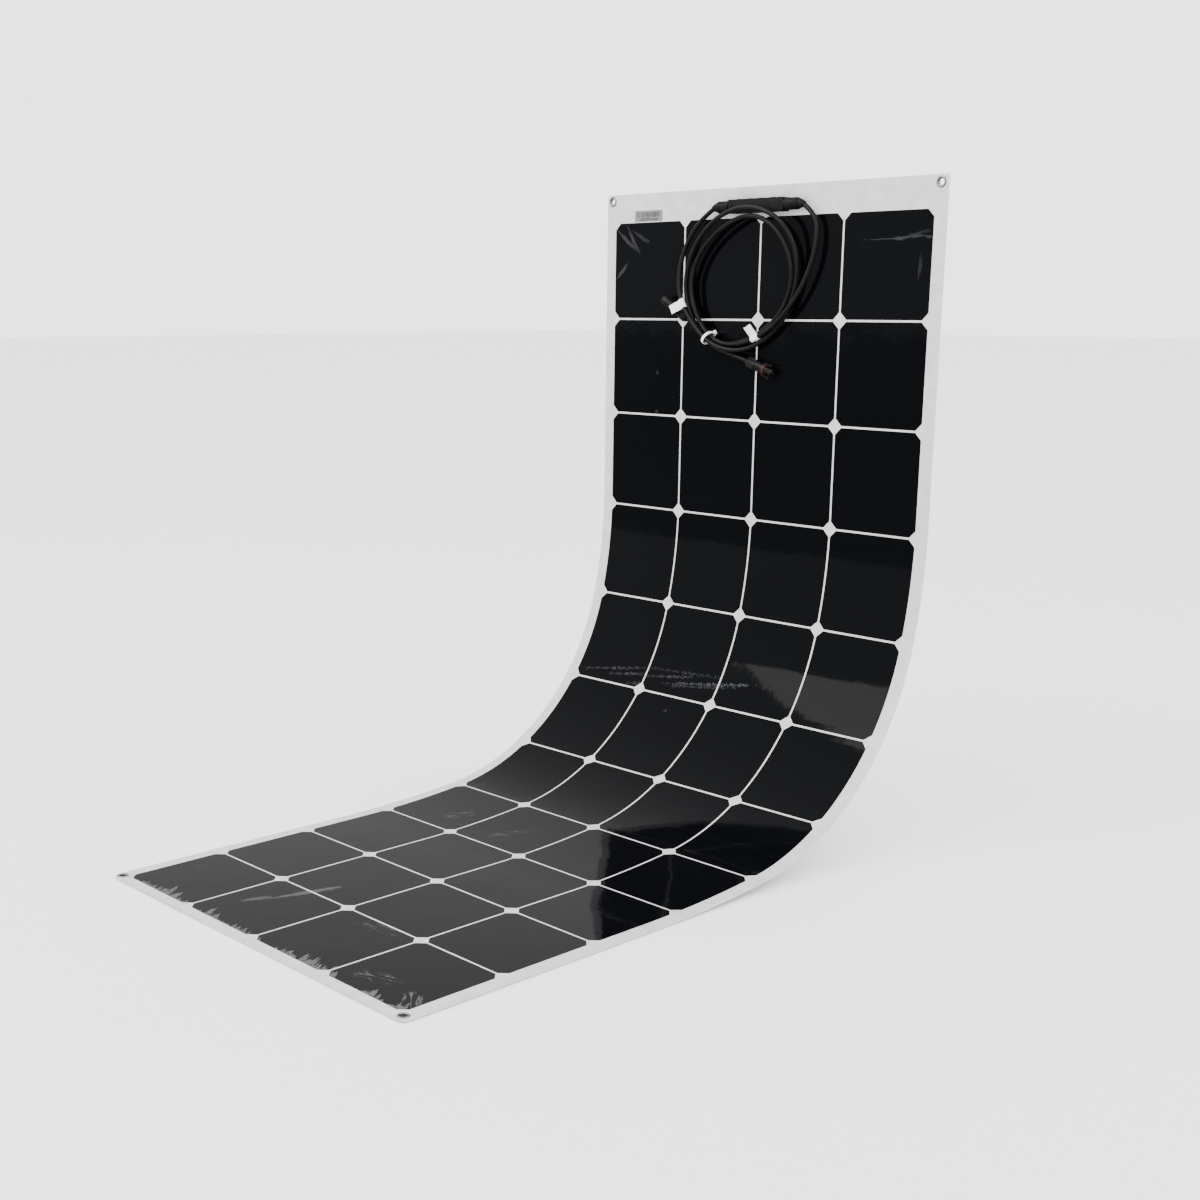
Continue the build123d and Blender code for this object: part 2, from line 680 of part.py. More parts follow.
make_flag("flag_left", CABLE_PATHS["left"], FLAG_LEFT_AT, (-1.0, -0.35, -0.2))
make_flag("flag_right", CABLE_PATHS["right"], FLAG_RIGHT_AT, (-0.42, -0.53, 0.74))


# ---- connectors ---------------------------------------------------------------------------------
def connector_plane(route, along=0.0):
    """Plane across a connector, its Z along the connector and its X out of the sheet."""
    way = (Vector(route[-1]) - Vector(route[-2])).normalized()
    across = Vector(0, -1, 0)
    across = (across - way * across.dot(way)).normalized()
    return Plane(origin=Vector(route[-1]) + way * along, x_dir=across, z_dir=way)


def make_cap(route, name):
    """Ribbed cap nut that clamps the cable; the cable's end stands against its small face."""
    with BuildPart() as cap:
        with BuildSketch(connector_plane(route)):
            Circle(CAP_ENTRY / 2)
        with BuildSketch(connector_plane(route, CAP_ENTRY_LENGTH)):
            Circle(CAP_OUTER / 2)
        loft()
        with BuildSketch(connector_plane(route, CAP_ENTRY_LENGTH)):
            Circle(CAP_OUTER / 2)
        extrude(amount=CAP_LENGTH - CAP_ENTRY_LENGTH)
        ribs = connector_plane(route, CAP_ENTRY_LENGTH + CAP_WALL)
        rib_ring(ribs, CAP_OUTER, CAP_RIB_DEPTH, CAP_RIBS, CAP_LENGTH)
        with BuildSketch(connector_plane(route, CAP_ENTRY_LENGTH)):
            Circle(THREAD_OUTER / 2 + NUT_FIT)
        extrude(amount=CAP_LENGTH, mode=Mode.SUBTRACT)
    save(cap.part, f"cap_nut_{name}")


SHELL_START = CAP_LENGTH + CAP_GAP
THREAD_START = SHELL_START - THREAD_LENGTH
CLAMP_START = CAP_ENTRY_LENGTH + CAP_GAP

make_cap(LEFT_ROUTE, "spigot")
make_cap(RIGHT_ROUTE, "socket")
with BuildPart() as clamps:
    for route in (LEFT_ROUTE, RIGHT_ROUTE):
        with BuildSketch(connector_plane(route, CLAMP_START)):
            Circle(THREAD_OUTER / 2)
            Circle(CABLE / 2, mode=Mode.SUBTRACT)
        extrude(amount=THREAD_START - CLAMP_START)
save(clamps.part, "cable_clamps")

# the spigot half, with its sealing ring and two latch arms
SPIGOT_START = SHELL_START + SHELL_LENGTH
LATCH_RADIUS = SPIGOT_OUTER / 2 + RING_SECTION + LATCH_GAP
with BuildPart() as spigot:
    with BuildSketch(connector_plane(LEFT_ROUTE, THREAD_START)):
        Circle(THREAD_OUTER / 2)
    extrude(amount=THREAD_LENGTH)
    with BuildSketch(connector_plane(LEFT_ROUTE, SHELL_START)):
        Circle(SHELL_OUTER / 2)
    extrude(amount=SHELL_LENGTH)
    for side in (-1, 1):
        with BuildSketch(connector_plane(LEFT_ROUTE, SPIGOT_START - LATCH_THICKNESS)):
            with Locations((0, side * (LATCH_RADIUS + NOTCH_DEPTH / 2 - LATCH_GAP / 2))):
                Rectangle(LATCH_WIDTH + 2 * LATCH_GAP, NOTCH_DEPTH + LATCH_GAP)
        extrude(amount=LATCH_THICKNESS, mode=Mode.SUBTRACT)
    with BuildSketch(connector_plane(LEFT_ROUTE, SPIGOT_START)):
        Circle(SPIGOT_OUTER / 2)
    extrude(amount=SPIGOT_LENGTH)
    with BuildSketch(connector_plane(LEFT_ROUTE, SPIGOT_START)):
        Circle(CONTACT_BORE / 2)
    extrude(amount=SPIGOT_LENGTH, mode=Mode.SUBTRACT)
save(spigot.part, "spigot_body")

with BuildPart() as ring:
    with BuildSketch(connector_plane(LEFT_ROUTE, SPIGOT_START)):
        Circle(SPIGOT_OUTER / 2 + RING_SECTION)
        Circle(SPIGOT_OUTER / 2, mode=Mode.SUBTRACT)
    extrude(amount=RING_SECTION)
save(ring.part, "sealing_ring")

for side, name in ((-1, "near"), (1, "far")):
    with BuildPart() as latch:
        with BuildSketch(connector_plane(LEFT_ROUTE, SPIGOT_START - LATCH_THICKNESS + LATCH_GAP)):
            with Locations((0, side * (LATCH_RADIUS + LATCH_THICKNESS / 2))):
                Rectangle(LATCH_WIDTH, LATCH_THICKNESS)
        extrude(amount=LATCH_LENGTH)
        hook_start = SPIGOT_START - LATCH_THICKNESS + LATCH_GAP + LATCH_LENGTH - 2 * LATCH_HOOK
        with BuildSketch(connector_plane(LEFT_ROUTE, hook_start)):
            with Locations((0, side * (LATCH_RADIUS + LATCH_THICKNESS + LATCH_HOOK / 2))):
                Rectangle(LATCH_WIDTH, LATCH_HOOK)
        extrude(amount=2 * LATCH_HOOK)
    save(latch.part, f"latch_arm_{name}")

# the socket half, a sleeve with a pin inside
SOCKET_MOUTH = SHELL_START + SOCKET_LENGTH
with BuildPart() as socket:
    with BuildSketch(connector_plane(RIGHT_ROUTE, THREAD_START)):
        Circle(THREAD_OUTER / 2)
    extrude(amount=THREAD_LENGTH)
    with BuildSketch(connector_plane(RIGHT_ROUTE, SHELL_START)):
        Circle(SOCKET_OUTER / 2)
    extrude(amount=SOCKET_LENGTH)
    with BuildSketch(connector_plane(RIGHT_ROUTE, SOCKET_MOUTH)):
        Circle(SOCKET_BORE / 2)
    extrude(amount=-SOCKET_DEPTH, mode=Mode.SUBTRACT)
save(socket.part, "socket_body")

with BuildPart() as contacts:
    with BuildSketch(connector_plane(LEFT_ROUTE, SPIGOT_START)):
        Circle(CONTACT_BORE / 2)
        Circle(CONTACT_BORE / 2 - CONTACT_WALL, mode=Mode.SUBTRACT)
    extrude(amount=SPIGOT_LENGTH - CONTACT_RECESS)
    with BuildSketch(connector_plane(RIGHT_ROUTE, SOCKET_MOUTH - SOCKET_DEPTH)):
        Circle(PIN_DIAMETER / 2)
    extrude(amount=SOCKET_DEPTH - PIN_RECESS)
save(contacts.part, "connector_contacts")
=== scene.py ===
"""Looks of a flexible solar sheet: laminate, cells, eyelets, junction box and a tied loop of cable.

Metres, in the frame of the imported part: +X across the sheet, +Z up, -Y out of the cell side. A place
"down" the sheet is measured along its middle surface from the top edge, and a "rise" is measured from
that surface towards the cells.
"""
import json
import logging
import math
from dataclasses import dataclass, field
from enum import Enum
from typing import Sequence, Union

import bmesh
import bpy
from mathutils import Matrix, Vector, geometry

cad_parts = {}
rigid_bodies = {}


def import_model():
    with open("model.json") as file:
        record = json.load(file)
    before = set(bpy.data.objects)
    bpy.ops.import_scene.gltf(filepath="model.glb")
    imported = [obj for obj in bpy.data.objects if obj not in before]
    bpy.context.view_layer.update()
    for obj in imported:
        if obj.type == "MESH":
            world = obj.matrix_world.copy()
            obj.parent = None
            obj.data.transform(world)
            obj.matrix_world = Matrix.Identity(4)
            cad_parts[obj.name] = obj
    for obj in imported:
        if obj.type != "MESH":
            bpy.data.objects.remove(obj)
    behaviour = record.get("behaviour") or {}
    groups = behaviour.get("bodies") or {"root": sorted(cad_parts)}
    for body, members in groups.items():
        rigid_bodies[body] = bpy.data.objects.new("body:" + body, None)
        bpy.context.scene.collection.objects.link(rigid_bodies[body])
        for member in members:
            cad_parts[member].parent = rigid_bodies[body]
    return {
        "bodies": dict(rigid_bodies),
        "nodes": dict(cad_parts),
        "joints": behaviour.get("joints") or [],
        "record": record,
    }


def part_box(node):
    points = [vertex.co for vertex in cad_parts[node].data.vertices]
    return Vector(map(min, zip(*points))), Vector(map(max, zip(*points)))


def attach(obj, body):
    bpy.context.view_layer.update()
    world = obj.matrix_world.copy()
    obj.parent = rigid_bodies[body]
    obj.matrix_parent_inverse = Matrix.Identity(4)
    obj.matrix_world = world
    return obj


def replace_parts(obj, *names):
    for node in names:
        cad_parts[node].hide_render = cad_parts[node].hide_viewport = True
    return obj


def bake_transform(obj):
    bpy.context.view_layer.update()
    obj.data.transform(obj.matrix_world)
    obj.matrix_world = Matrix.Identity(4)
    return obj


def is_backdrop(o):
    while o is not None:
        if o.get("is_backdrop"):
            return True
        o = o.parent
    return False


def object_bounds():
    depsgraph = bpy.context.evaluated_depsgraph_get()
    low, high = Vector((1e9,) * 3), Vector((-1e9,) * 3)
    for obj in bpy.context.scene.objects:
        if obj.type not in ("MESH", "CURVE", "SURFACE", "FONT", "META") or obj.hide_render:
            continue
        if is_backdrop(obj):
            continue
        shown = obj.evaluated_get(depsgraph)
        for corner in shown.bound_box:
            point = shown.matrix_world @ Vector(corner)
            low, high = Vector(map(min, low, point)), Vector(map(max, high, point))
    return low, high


LOG = logging.getLogger("solar_sheet")
MM = 0.001
Colour = tuple[float, float, float]
Input = Union[float, int, Sequence[float], bpy.types.NodeSocket]
Point = tuple[float, float]
Place = tuple[float, float, float]
SHARP_ANGLE = math.radians(35)
MERGE_DISTANCE = 1e-7
GEOMETRY_OUT = [("Geometry", "NodeSocketGeometry")]


# ---- node trees -----------------------------------------------------------------------------------
class Graph:
    """Short way to fill one node tree, of geometry or of shaders."""

    def __init__(self, tree: bpy.types.NodeTree) -> None:
        """Keep the tree that the nodes go into."""
        self.tree = tree

    def add(self, kind: str, inputs: dict[object, Input] | None = None,
            **settings: object) -> bpy.types.Node:
        """Add a node.

        Args:
            kind: the node's type name.
            inputs: values or sockets for its inputs, by name or number.
            settings: properties of the node itself.

        Returns:
            The new node.
        """
        node = self.tree.nodes.new(kind)
        for name, value in settings.items():
            setattr(node, name, value)
        return self.feed(node, inputs or {})

    def feed(self, node: bpy.types.Node, inputs: dict[object, Input]) -> bpy.types.Node:
        """Set a node's inputs, by name or number, to values or link them to sockets."""
        for key, value in inputs.items():
            if isinstance(value, bpy.types.NodeSocket):
                self.tree.links.new(value, node.inputs[key])
            else:
                node.inputs[key].default_value = value
        return node

    def math(self, operation: str, *values: Input) -> bpy.types.NodeSocket:
        """Value of one arithmetic operation on the given values."""
        return self.add("ShaderNodeMath", dict(enumerate(values)), operation=operation).outputs[0]

    def vector(self, operation: str, *values: Input) -> bpy.types.Node:
        """Node of one vector operation on the given vectors."""
        return self.add("ShaderNodeVectorMath", dict(enumerate(values)), operation=operation)

    def noise(self, vector: bpy.types.NodeSocket, scale: Input, detail: float = 2.0) -> bpy.types.NodeSocket:
        """Value of a noise texture, from 0 to 1."""
        inputs = {"Vector": vector, "Scale": scale, "Detail": detail}
        return self.add("ShaderNodeTexNoise", inputs).outputs[0]

    def ramp(self, value: Input, low: Input, high: Input, start: float = 0.0,
             end: float = 1.0) -> bpy.types.NodeSocket:
        """Smooth step from one value to another as the input goes from low to high."""
        inputs = {"Value": value, "From Min": low, "From Max": high, "To Min": start, "To Max": end}
        return self.add("ShaderNodeMapRange", inputs, interpolation_type="SMOOTHSTEP").outputs[0]

    def mix(self, factor: Input, first: Sequence[float], second: Sequence[float]) -> bpy.types.NodeSocket:
        """Colour between two colours."""
        node = self.add("ShaderNodeMix", {0: factor}, data_type="RGBA")
        colours = (colour if isinstance(colour, bpy.types.NodeSocket) else (*colour, 1.0)
                   for colour in (first, second))
        return self.feed(node, dict(zip((6, 7), colours))).outputs[2]


def group_tree(kind: str, name: str, inputs: Sequence[tuple[str, str, object]],
               outputs: Sequence[tuple[str, str]]) -> tuple[Graph, bpy.types.Node, bpy.types.Node]:
    """Make a node group with named inputs and outputs.

    Args:
        kind: the tree's type name.
        name: the group's name.
        inputs: name, socket type and default of each input.
        outputs: name and socket type of each output.

    Returns:
        The graph, its input node and its output node.
    """
    tree = bpy.data.node_groups.new(name, kind)
    for label, socket, default in inputs:
        made = tree.interface.new_socket(label, in_out="INPUT", socket_type=socket)
        if default is not None:
            made.default_value = default
    for label, socket in outputs:
        tree.interface.new_socket(label, in_out="OUTPUT", socket_type=socket)
    graph = Graph(tree)
    return graph, graph.add("NodeGroupInput"), graph.add("NodeGroupOutput")


def apply_trees(piece: bpy.types.Object, *steps: tuple[bpy.types.NodeTree, dict[str, object]]) -> None:
    """Run geometry node trees on a piece and keep the result as its plain mesh.

    Args:
        piece: the object to change.
        steps: each tree with its inputs by name.
    """
    for tree, values in steps:
        modifier = piece.modifiers.new(tree.name, "NODES")
        modifier.node_group = tree
        names = {item.name: item.identifier for item in tree.interface.items_tree if item.in_out == "INPUT"}
        for label, value in values.items():
            modifier[names[label]] = value
    bpy.context.view_layer.update()
    graph = bpy.context.evaluated_depsgraph_get()
    mesh = bpy.data.meshes.new_from_object(piece.evaluated_get(graph), depsgraph=graph)
    piece.modifiers.clear()
    piece.data = mesh


def tile_tree() -> bpy.types.NodeTree:
    """Tree that lays copies of a flat tile in columns and rows down the sheet."""
    inputs = [("Geometry", "NodeSocketGeometry", None), ("Tile", "NodeSocketObject", None),
              ("Columns", "NodeSocketInt", 4), ("Rows", "NodeSocketInt", 1),
              ("Across", "NodeSocketFloat", 0.1), ("Down", "NodeSocketFloat", 0.1),
              ("First", "NodeSocketFloat", 0.0), ("Middle", "NodeSocketFloat", 0.0),
              ("Width Spread", "NodeSocketFloat", 0.0), ("Seed", "NodeSocketInt", 7)]
    graph, given, out = group_tree("GeometryNodeTree", "lay_tiles", inputs, GEOMETRY_OUT)
    get = given.outputs
    wide = graph.math("MULTIPLY", graph.math("SUBTRACT", get["Columns"], 1.0), get["Across"])
    deep = graph.math("MULTIPLY", graph.math("SUBTRACT", get["Rows"], 1.0), get["Down"])
    grid = graph.add("GeometryNodeMeshGrid", {"Size X": wide, "Size Y": deep, "Vertices X": get["Columns"],
                                              "Vertices Y": get["Rows"]})
    centre = graph.math("MULTIPLY", graph.math("ADD", get["First"], graph.math("MULTIPLY", deep, 0.5)), -1.0)
    shift = graph.add("ShaderNodeCombineXYZ", {"X": get["Middle"], "Y": centre})
    points = graph.add("GeometryNodeTransform",
                       {"Geometry": grid.outputs[0], "Translation": shift.outputs[0]})
    tile = graph.add("GeometryNodeObjectInfo", {"Object": get["Tile"]})
    spread = graph.add("FunctionNodeRandomValue", {"Seed": get["Seed"]}, data_type="FLOAT")
    graph.feed(spread, {2: graph.math("SUBTRACT", 1.0, get["Width Spread"])})
    size = graph.add("ShaderNodeCombineXYZ", {"X": spread.outputs[1], "Y": 1.0, "Z": 1.0})
    copies = graph.add("GeometryNodeInstanceOnPoints", {"Points": points.outputs[0],
                                                        "Instance": tile.outputs["Geometry"],
                                                        "Scale": size.outputs[0]})
    real = graph.add("GeometryNodeRealizeInstances", {"Geometry": copies.outputs[0]})
    joined = graph.add("GeometryNodeJoinGeometry")
    graph.feed(joined, {0: get["Geometry"]})
    graph.feed(joined, {0: real.outputs[0]})
    graph.feed(out, {0: joined.outputs[0]})
    return graph.tree


def bend_tree() -> bpy.types.NodeTree:
    """Tree that lays flat geometry on the bent sheet and keeps its flat place as an attribute."""
    inputs = [("Geometry", "NodeSocketGeometry", None), ("Profile", "NodeSocketObject", None),
              ("Finish", "NodeSocketMaterial", None)]
    graph, given, out = group_tree("GeometryNodeTree", "follow_bend", inputs, GEOMETRY_OUT)
    place = graph.add("GeometryNodeInputPosition").outputs[0]
    kept = graph.add("GeometryNodeStoreNamedAttribute", {"Geometry": given.outputs["Geometry"],
                                                         "Name": "flat"},
                     data_type="FLOAT_VECTOR", domain="POINT")
    graph.feed(kept, {"Value": place})
    parts = graph.add("ShaderNodeSeparateXYZ", {0: place})
    profile = graph.add("GeometryNodeObjectInfo", {"Object": given.outputs["Profile"]})
    down = graph.math("MULTIPLY", parts.outputs[1], -1.0)
    sample = graph.add("GeometryNodeSampleCurve", {"Curves": profile.outputs["Geometry"], "Length": down},
                       mode="LENGTH")
    outwards = graph.vector("CROSS_PRODUCT", sample.outputs["Tangent"], (1.0, 0.0, 0.0)).outputs[0]
    raised = graph.add("ShaderNodeVectorMath", {0: outwards, "Scale": parts.outputs[2]}, operation="SCALE")
    across = graph.add("ShaderNodeCombineXYZ", {"X": parts.outputs[0]})
    spot = graph.vector("ADD", sample.outputs["Position"], raised.outputs[0]).outputs[0]
    spot = graph.vector("ADD", spot, across.outputs[0]).outputs[0]
    moved = graph.add("GeometryNodeSetPosition", {"Geometry": kept.outputs[0], "Position": spot})
    real = graph.add("GeometryNodeRealizeInstances", {"Geometry": moved.outputs[0]})
    dressed = graph.add("GeometryNodeSetMaterial",
                        {"Geometry": real.outputs[0], "Material": given.outputs["Finish"]})
    graph.feed(out, {0: dressed.outputs[0]})
    return graph.tree


def rib_tree() -> bpy.types.NodeTree:
    """Tree that adds a ring of round ribs, along Z, to the nut it is given."""
    inputs = [("Geometry", "NodeSocketGeometry", None), ("Count", "NodeSocketInt", 12),
              ("Radius", "NodeSocketFloat", 0.007), ("Length", "NodeSocketFloat", 0.01),
              ("Start", "NodeSocketFloat", 0.0), ("Rib", "NodeSocketFloat", 0.001),
              ("Finish", "NodeSocketMaterial", None)]
    graph, given, out = group_tree("GeometryNodeTree", "ring_of_ribs", inputs, GEOMETRY_OUT)
    get = given.outputs
    circle = graph.add("GeometryNodeMeshCircle", {"Vertices": get["Count"], "Radius": get["Radius"]})
    half = graph.math("ADD", get["Start"], graph.math("MULTIPLY", get["Length"], 0.5))
    lift = graph.add("ShaderNodeCombineXYZ", {"Z": half})
    points = graph.add("GeometryNodeTransform",
                       {"Geometry": circle.outputs[0], "Translation": lift.outputs[0]})
    rib = graph.add("GeometryNodeMeshCylinder",
                    {"Vertices": 8, "Radius": get["Rib"], "Depth": get["Length"]})
    copies = graph.add("GeometryNodeInstanceOnPoints",
                       {"Points": points.outputs[0], "Instance": rib.outputs[0]})
    joined = graph.add("GeometryNodeJoinGeometry")
    graph.feed(joined, {0: get["Geometry"]})
    graph.feed(joined, {0: copies.outputs[0]})
    real = graph.add("GeometryNodeRealizeInstances", {"Geometry": joined.outputs[0]})
    dressed = graph.add("GeometryNodeSetMaterial", {"Geometry": real.outputs[0], "Material": get["Finish"]})
    graph.feed(out, {0: dressed.outputs[0]})
    return graph.tree


# ---- meshes ---------------------------------------------------------------------------------------
def new_object(name: str, data: bpy.types.ID) -> bpy.types.Object:
    """Put a new object with the given data in the scene."""
    made = bpy.data.objects.new(name, data)
    bpy.context.scene.collection.objects.link(made)
    return made


def frame_at(spot: Sequence[float], across: Vector, way: Vector) -> Matrix:
    """Place at a spot, with X across and Z along the way."""
    turn = Matrix((across, way.cross(across), way)).transposed().to_4x4()
    return Matrix.Translation(spot) @ turn


def mesh_piece(name: str, form: bmesh.types.BMesh, smooth: bool = True) -> bpy.types.Object:
    """Turn a closed bmesh into an object in the scene.

    Args:
        name: the piece's name.
        form: its faces; freed here.
        smooth: shade it smooth, apart from edges sharper than about 35 degrees.

    Returns:
        The new object.
    """
    bmesh.ops.recalc_face_normals(form, faces=form.faces)
    mesh = bpy.data.meshes.new(name)
    form.to_mesh(mesh)
    form.free()
    if smooth:
        mesh.shade_smooth()
        mesh.set_sharp_from_angle(angle=SHARP_ANGLE)
    return new_object(name, mesh)


def add_rings(form: bmesh.types.BMesh, rings: Sequence[Sequence[Vector]], closed: bool) -> None:
    """Join rings of points into a skin.

    Args:
        form: takes the faces.
        rings: rings with the same number of points.
        closed: join the last ring to the first; otherwise both ends are capped.
    """
    made = [[form.verts.new(p) for p in ring] for ring in rings]
    following = made[1:] + ([made[0]] if closed else [])
    for ring, after in zip(made, following):
        count = len(ring)
        for k in range(count):
            form.faces.new((ring[k], ring[(k + 1) % count], after[(k + 1) % count], after[k]))
    if not closed:
        form.faces.new(made[0])
        form.faces.new(made[-1])


def lathe(form: bmesh.types.BMesh, profile: Sequence[Point], frame: Matrix, hollow: bool,
          segments: int = 48) -> None:
    """Turn a profile round the frame's Z axis.

    Args:
        form: takes the faces.
        profile: radius and height of each point.
        frame: place of the axis.
        hollow: the profile is a closed loop clear of the axis; otherwise its ends are capped.
        segments: points round.
    """
    turns = [2 * math.pi * k / segments for k in range(segments)]
    rings = [[frame @ Vector((r * math.cos(a), r * math.sin(a), h)) for a in turns] for r, h in profile]
    add_rings(form, rings, hollow)


def plate(form: bmesh.types.BMesh, outline: Sequence[Point], holes: Sequence[Sequence[Point]],
          cuts: Sequence[float], low: float, high: float) -> None:
    """Flat plate with holes, closed all round, in the XY plane.

    Args:
        form: takes the faces.
        outline: corners of the outer edge, in order.
        holes: edges of the holes.
        cuts: heights in Y of extra lines across, so that the plate can bend.
        low: lower face's Z.
        high: upper face's Z.
    """
    points: list[Vector] = []
    ends: dict[float, list[int]] = {y: [] for y in cuts}
    for (x, y), (next_x, next_y) in zip(outline, [*outline[1:], outline[0]]):
        points.append(Vector((x, y)))
        crossed = sorted((cut for cut in cuts if min(y, next_y) < cut < max(y, next_y)), reverse=y > next_y)
        for cut in crossed:
            ends[cut].append(len(points))
            points.append(Vector((x + (next_x - x) * (cut - y) / (next_y - y), cut)))
    lines = [tuple(pair) for pair in ends.values() if len(pair) == 2]
    loops = [list(range(len(points)))]
    for hole in holes:
        loops.append(list(range(len(points), len(points) + len(hole))))
        points += [Vector(p) for p in hole]
    flat = geometry.delaunay_2d_cdt(points, lines, loops, 0, MERGE_DISTANCE)
    tops = [form.verts.new((p.x, p.y, high)) for p in flat[0]]
    bottoms = [form.verts.new((p.x, p.y, low)) for p in flat[0]]
    sides: dict[tuple[int, int], int] = {}
    for face, within in zip(flat[2], flat[5]):
        if list(within) != [0]:
            continue
        form.faces.new([tops[k] for k in face])
        form.faces.new([bottoms[k] for k in reversed(face)])
        for a, b in zip(face, face[1:] + face[:1]):
            sides[(a, b)] = sides.get((a, b), 0) + 1
    for a, b in sides:
        if (b, a) not in sides:
            form.faces.new((tops[b], tops[a], bottoms[a], bottoms[b]))
    loose = [v for v in form.verts if not v.link_faces]
    bmesh.ops.delete(form, geom=loose, context="VERTS")


def rounded_box(form: bmesh.types.BMesh, low: Sequence[float], high: Sequence[float],
                bevel: float) -> None:
    """Box between two corners with rounded edges, as round as its thinnest side allows."""
    middle = (Vector(low) + Vector(high)) / 2
    size = Vector(high) - Vector(low)
    bevel = min(bevel, 0.48 * min(size))
    place = Matrix.Translation(middle) @ Matrix.Diagonal((*size, 1))
    made = bmesh.ops.create_cube(form, size=1.0, matrix=place)
    edges = {edge for vertex in made["verts"] for edge in vertex.link_edges}
    bmesh.ops.bevel(form, geom=list(edges), offset=bevel, segments=3, profile=0.6, affect="EDGES")


def arc(centre: Point, radius: float, start: float, end: float, steps: int) -> list[Point]:
    """Points on an arc, from one angle to another in degrees."""
    angles = [math.radians(start + (end - start) * k / steps) for k in range(steps + 1)]
    return [(centre[0] + radius * math.cos(a), centre[1] + radius * math.sin(a)) for a in angles]


